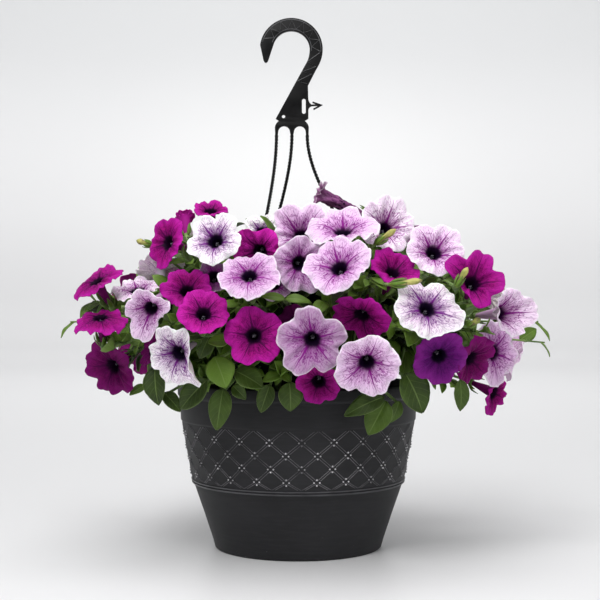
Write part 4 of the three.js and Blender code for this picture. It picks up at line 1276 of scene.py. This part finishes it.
def leaf_blade(bm, layer, base, tip, width, face, light, cells, seed):
    """A soft ovate blade: folded along the midrib, arched, with a slightly wavy edge."""
    length = np.linalg.norm(tip - base)
    along = (tip - base) / length
    normal = unit(face - along * np.dot(face, along))
    right = np.cross(along, normal)
    grid = bmesh.ops.create_grid(bm, x_segments=cells[0], y_segments=cells[1], size=0.5)["verts"]
    for vert in grid:
        share = 2 * vert.co.x
        part = vert.co.y + 0.5
        across = share * 0.5 * width * leaf_outline(part)
        arch = 0.32 * length * (part - part * part)
        droop = 0.05 * length * part**3 * math.sin(seed)
        wave = 0.035 * width * share * share * math.sin(9 * part + 3 * share + seed)
        rows = 2 * math.pi * SIDE_VEINS * (part - 0.3 * abs(share))
        vein = 0.012 * width * math.cos(rows) * abs(share)
        lift = arch - droop + wave + vein + 0.24 * abs(across)
        vert[layer] = Vector((share, part, light))
        vert.co = Vector(base + along * (part * length) + normal * lift + right * across)


def sagging_line(root, end, steps):
    """A stem from root to end that sags a little, as it does under its bloom."""
    middle = (root + end) / 2
    low = middle - UP * 0.02 * np.linalg.norm(end - root)
    pull = 2 * low - middle
    parts = [k / steps for k in range(steps + 1)]
    return [(1 - t) ** 2 * root + 2 * t * (1 - t) * pull + t * t * end for t in parts]


hair_lines = []
stem_bm = bmesh.new()
sepal_bm = bmesh.new()
sepal_layer = sepal_bm.verts.layers.float_vector.new("blade")


def green_stalk(places, radii, sides=STEM_SIDES):
    """A stem, which is remembered for its hairs."""
    stalk(stem_bm, places, radii, sides)
    hair_lines.append((places, radii))


def sepal(base, tip, width, face, light, seed):
    """One of the narrow green points round a bloom or a bud."""
    leaf_blade(sepal_bm, sepal_layer, base, tip, width, face, light, (2, 4), seed)


def calyx(flower):
    """The green cup round the foot of the trumpet and its five narrow sepals."""
    heights = [-NECK, -TUBE_LENGTH - 6, -TUBE_LENGTH - 2.5, -TUBE_LENGTH + 2]
    green_stalk([in_place(flower, 0, 0, height) for height in heights], [STEM_RADIUS, 3.2, 3.9, 3.6], 10)
    for k in range(LOBES):
        turn = flower["roll"] + 2 * math.pi * (k + 0.5) / LOBES
        base = in_place(flower, 3.4, turn, -TUBE_LENGTH - 3)
        tip = in_place(flower, 9.5, turn, -TUBE_LENGTH + 12)
        away = in_place(flower, 1, turn, 0) - flower["throat"]
        sepal(base, tip, 4.2, away, 0.6, flower["index"] + k)


def stem_hairs():
    """Short fine hairs all round the stems, where these leave the mound."""
    bm = bmesh.new()
    number = 0
    for places, radii in hair_lines:
        for start, end, radius in zip(places, places[1:], radii):
            along = unit(end - start)
            side, top = axes_across(along, [0.3, 0.2, 0.9])
            steps = int(np.linalg.norm(end - start) / HAIR_STEP)
            for k in range(steps):
                number += 1
                centre = start + (end - start) * (k + 0.5) / steps
                if np.linalg.norm((centre - CORE_MIDDLE) / CORE_SIZE) < HAIR_FROM:
                    continue
                away = side * math.cos(2.4 * number) + top * math.sin(2.4 * number)
                round_it = np.cross(along, away)
                root = centre + away * (radius - 0.1)
                tip = root + (away + 0.35 * along * math.sin(number)) * HAIR_LENGTH
                feet = [root + HAIR_RADIUS * way for way in (round_it, along, -round_it - along)]
                spike = [bm.verts.new(place) for place in (*feet, tip)]
                for corners in ((0, 1, 2), (0, 1, 3), (1, 2, 3), (2, 0, 3)):
                    bm.faces.new([spike[c] for c in corners])
    bmesh.ops.recalc_face_normals(bm, faces=bm.faces)
    return bm


for k in range(CROWNS):
    azimuth = 30 + 360 * k / CROWNS
    heights = [CROWN_FOOT, 165, 176, 190, 215]
    places = [on_ring(CROWN_RING + 1.5 * math.sin(height), azimuth, height) for height in heights]
    stalk(stem_bm, places, [4.6, 4.9, 4.7, 4.4, 4.2], 12)

for flower in flowers:
    neck = neck_of(flower)
    places = stem_places(root_place(neck), neck, flower["side"], flower["top"], flower["index"])
    line = sagging_line(*places, 8) if len(places) == 2 else places
    green_stalk(line, [STEM_RADIUS] * len(line))
    calyx(flower)
    if flower["index"] % 2 == 0:
        leaves_along(places[-2], neck, [0.75], 34, flower["index"])

front_rows = []
for base, tip, width, face, light in FRONT_LEAVES:
    foot, point = np.array(base, float), np.array(tip, float)
    places = free_stem(foot)
    places[-1] = foot + (point - foot) * 0.12
    green_stalk(places, [STEM_RADIUS] * len(places))
    front_rows.append((foot, point, width, unit(np.array(face, float)), light))

for i, place in enumerate(SHOOTS):
    tip = np.array(place, float)
    places = free_stem(tip, side=(0, 1.0, 0))
    green_stalk(places, [STEM_RADIUS] * (len(places) - 1) + [0.9])
    leaves_along(places[-2], tip, [0.6, 0.78, 0.96], 24, 3 * i)

core_leaves(36, 56, 0.8, 0)
large_count = len(leaf_rows)
for i, place in enumerate(SPRIGS):
    tip = np.array(place, float)
    foot = tip + (root_place(tip) - tip) * 0.5
    if line_is_clear(tip, foot, 2, None):
        green_stalk([foot, tip], [1.2, 0.8], 6)
    leaves_along(foot, tip, [0.3, 0.45, 0.58, 0.7, 0.8, 0.9, 0.98], 20, 4 * i + 1, 0.75)
core_leaves(230, 44, 0.9, 0.7)
core_leaves(260, 36, 1.0, 1.9)
core_leaves(70, 36, 0.9, 0.4, highest=1, lowest=0.9)
core_leaves(60, 30, 1.0, 1.3, highest=1, lowest=0.9)
for flower in flowers:
    neck = neck_of(flower)
    leaves_along(root_place(neck), neck, [0.35, 0.55, 0.9], 30, flower["index"] + 7)


def bud(bm, foot, point):
    """A furled petal tube that swells and then narrows to its tip."""
    parts = [0, 0.15, 0.35, 0.55, 0.7, 0.82, 0.92, 1]
    radii = [1.8, 2.3, 2.2, 2.7, 3.4, 3.2, 2.1, 0.6]
    stalk(bm, [foot + (point - foot) * part for part in parts], radii, 10)


bud_bm = bmesh.new()
for i, (base, tip) in enumerate(BUDS):
    foot, point = np.array(base, float), np.array(tip, float)
    places = free_stem(foot)
    green_stalk(places, [STEM_RADIUS] * len(places))
    bud(bud_bm, foot, point)
    along = unit(point - foot)
    side, top = axes_across(along)
    for k in range(LOBES):
        turn = 2 * math.pi * k / LOBES
        away = side * math.cos(turn) + top * math.sin(turn)
        end = foot + along * 0.55 * np.linalg.norm(point - foot) + away * 4.5
        sepal(foot + away * 1.5 - along, end, 3.6, away, 0.8, i + k)


def leaf_material(name, shade, bright, vein_colour):
    """Soft leaf tissue: pale midrib and side veins, a pale edge, and each leaf with its own green."""
    material = new_material(
        name,
        shade,
        0.5,
        Sheen_Weight=0.02,
        Sheen_Roughness=0.4,
        Subsurface_Weight=0.08,
        Subsurface_Radius=(0.001, 0.002, 0.0004),
        Subsurface_Scale=1,
        Specular_IOR_Level=0.3,
    )
    share, part, own = three_parts(mesh_value(material, "blade", "Vector"))
    half = maths("ABSOLUTE", share)
    rib = times(ramp(half, 0.02, 0.07, 1, 0), 0.6)
    side = maths("COSINE", times(minus(part, times(half, 0.3)), 2 * math.pi * SIDE_VEINS))
    side = times(ramp(side, 0.93, 1.0), 0.22)
    edge = times(ramp(half, 0.92, 1.0), 0.6)
    lines = maths("MAXIMUM", maths("MAXIMUM", rib, side), edge)
    mixed = plus(times(own, 0.9), times(object_noise(material, 60, 4), 0.5))
    green = blend_colours(ramp(mixed, 0.15, 1.25), shade, bright)
    base_colour(material, blend_colours(times(lines, 0.6), green, vein_colour))
    grain = plus(object_noise(material, 500), times(lines, -0.9))
    add_bump(material, grain, 0.4, 0.0006)
    return material


def stem_material():
    material = new_material("stem_green", tint(96, 124, 58), 0.6, Sheen_Weight=0.2, Sheen_Roughness=0.4)
    mottle(material, object_noise(material, 70, 4), 0.35, 0.7, tint(74, 104, 42), tint(122, 148, 78))
    add_bump(material, object_noise(material, 900, 2), 0.3, 0.0004)
    return material


def bud_material():
    """A furled bud: yellow-green tissue with purple streaks."""
    material = new_material("bud_green", tint(150, 148, 70), 0.6, Sheen_Weight=0.2, Sheen_Roughness=0.4)
    clouds = ramp(object_noise(material, 90, 2), 0.35, 0.65)
    green = blend_colours(clouds, tint(120, 128, 52), tint(182, 176, 98))
    streaks = object_noise(material, 240, 2)
    base_colour(material, blend_colours(ramp(streaks, 0.55, 0.7, 0, 0.6), green, tint(98, 52, 72)))
    add_bump(material, streaks, 0.4, 0.0005)
    return material


upper_leaf = leaf_material("leaf_upper", tint(30, 46, 6), tint(98, 130, 40), tint(130, 156, 84))
under_leaf = leaf_material("leaf_under", tint(62, 84, 34), tint(112, 142, 66), tint(140, 164, 96))
pale_hair = new_material("hairs", tint(176, 192, 140), 0.6)


def place_leaves(name, bm, thickness):
    """Makes blades with an upper and an under side of their own colour."""
    piece = place_piece(name, bm, ["growth"], [upper_leaf, under_leaf])
    solid = piece.modifiers.new("blade thickness", "SOLIDIFY")
    solid.thickness = thickness * MM
    solid.offset = -1
    solid.material_offset = 1


bm = bmesh.new()
layer = bm.verts.layers.float_vector.new("blade")
for i, row in enumerate(front_rows):
    leaf_blade(bm, layer, *row, (8, 14), 2.3 * i)
place_leaves("front_leaves", bm, 0.7)

# The large leaves come first, and have a finer mesh
bm = bmesh.new()
layer = bm.verts.layers.float_vector.new("blade")
for i, row in enumerate(leaf_rows):
    leaf_blade(bm, layer, *row, (6, 8) if i < large_count else (4, 6), 1.7 * i)
place_leaves("mound_leaves", bm, 0.65)
place_leaves("sepals", sepal_bm, 0.5)
place_piece("stems", stem_bm, ["growth"], [stem_material()])
place_piece("stem_hairs", stem_hairs(), ["growth"], [pale_hair])
place_piece("buds", bud_bm, ["growth"], [bud_material()])


def mound_heart():
    """The tangle of inner stems and leaves that closes the view through the mound, as a lumpy shell whose
    dark green is painted shade.
    """
    bm = bmesh.new()
    bmesh.ops.create_icosphere(bm, subdivisions=5, radius=1)
    for vert in bm.verts:
        x, y, z = vert.co
        lumps = 0.9 + 0.05 * math.sin(5 * math.atan2(y, x) + 7 * z)
        lumps += 0.03 * math.sin(19 * x + 3) * math.sin(23 * y) * math.sin(21 * z + 1)
        lumps += 0.02 * math.sin(47 * x) * math.sin(53 * y + 2) * math.sin(49 * z)
        vert.co *= lumps
    bmesh.ops.scale(bm, vec=CORE_SIZE, verts=bm.verts)
    bmesh.ops.translate(bm, vec=CORE_MIDDLE, verts=bm.verts)
    # Painted shade: dark green, darkest at the edges of the cells
    material = new_material("inner_leaves_painted_shade", tint(24, 38, 14), 0.8, Specular_IOR_Level=0.1)
    cells = object_cells(material, 55)
    mottle(material, cells, 0.1, 0.6, tint(40, 62, 22), tint(10, 18, 6))
    add_bump(material, cells, 1.0, 0.006)
    place_piece("mound_heart", bm, ["growth"], [material])


mound_heart()

# Studio
# A pale floor that curves up into a pale wall all round, soft light from above and in front, and the
# camera level with the flowers. Places and sizes are in metres.

CAMERA_PLACE = (0.002, -1.487, 0.2856)
CAMERA_LENS = 76.5
AIR_LIGHT = 0.38

# Each light's place, where it points, its size and its power in watts
LIGHTS = {
    "key_light": ((-0.8, -1.9, 2.0), (0, 0, 0.25), 0.9, 36),
    "fill_light": ((1.6, -1.7, 1.2), (0, 0, 0.25), 1.6, 10),
    "top_light": ((0, -0.8, 2.5), (0, 0, 0.2), 1.8, 40),
    "wall_light": ((0, 2.0, 3.4), (0, 5.6, 1.3), 2.2, 99),
}


def pale_paint():
    """Pale matt paint with a painted pool of light on the wall behind the hook, and painted shade a little
    darker high up.
    """
    paint = new_material("pale_paint", tint(226, 226, 227), 0.45)
    x, _, z = three_parts(object_place(paint))
    above = minus(z, 0.8)
    reach = maths("SQRT", plus(times(x, x), times(above, above)))
    # A painted pool of light on the wall behind the hook
    painted_light_patch = times(ramp(reach, 0.1, 1.4, 1, 0), ramp(z, 0.1, 0.5))
    colour = blend_colours(painted_light_patch, tint(226, 226, 227), tint(238, 238, 238))
    # Painted shade, a little darker high up
    base_colour(paint, blend_colours(ramp(z, 0.95, 2.0), colour, tint(206, 207, 208)))
    return paint


def studio_floor():
    bm = bmesh.new()
    profile = [(0, 0), (1, 0), (2.5, 0), (4, 0), (4.6, 0.06), (5.1, 0.3), (5.4, 0.8), (5.5, 1.6), (5.5, 4.5)]
    turn_profile(bm, profile, 96)
    bmesh.ops.remove_doubles(bm, verts=bm.verts, dist=0.0001)
    bmesh.ops.recalc_face_normals(bm, faces=bm.faces)
    bmesh.ops.reverse_faces(bm, faces=bm.faces)
    mesh = bpy.data.meshes.new("studio_floor")
    bm.to_mesh(mesh)
    bm.free()
    mesh.materials.append(pale_paint())
    mesh.shade_smooth()
    floor = bpy.data.objects.new("studio_floor", mesh)
    bpy.context.scene.collection.objects.link(floor)


def add_light(name, place, target, size, power):
    light = bpy.data.lights.new(name, "AREA")
    light.size = size
    light.energy = power
    lamp = bpy.data.objects.new(name, light)
    lamp.location = place
    lamp.rotation_euler = (Vector(target) - Vector(place)).to_track_quat("-Z", "Y").to_euler()
    bpy.context.scene.collection.objects.link(lamp)


studio_floor()
for name, row in LIGHTS.items():
    add_light(name, *row)
world = bpy.data.worlds.new("studio_air")
world.use_nodes = True
air = world.node_tree.nodes["Background"].inputs
air["Color"].default_value = (1, 1, 1, 1)
air["Strength"].default_value = AIR_LIGHT
bpy.context.scene.world = world
bpy.context.scene.view_settings.view_transform = "Standard"

camera_data = bpy.data.cameras.new("camera")
camera_data.sensor_width = 36
camera_data.lens = CAMERA_LENS
camera = bpy.data.objects.new("camera", camera_data)
camera.location = CAMERA_PLACE
camera.rotation_euler = (math.radians(90), 0, 0)
bpy.context.scene.collection.objects.link(camera)
bpy.context.scene.camera = camera
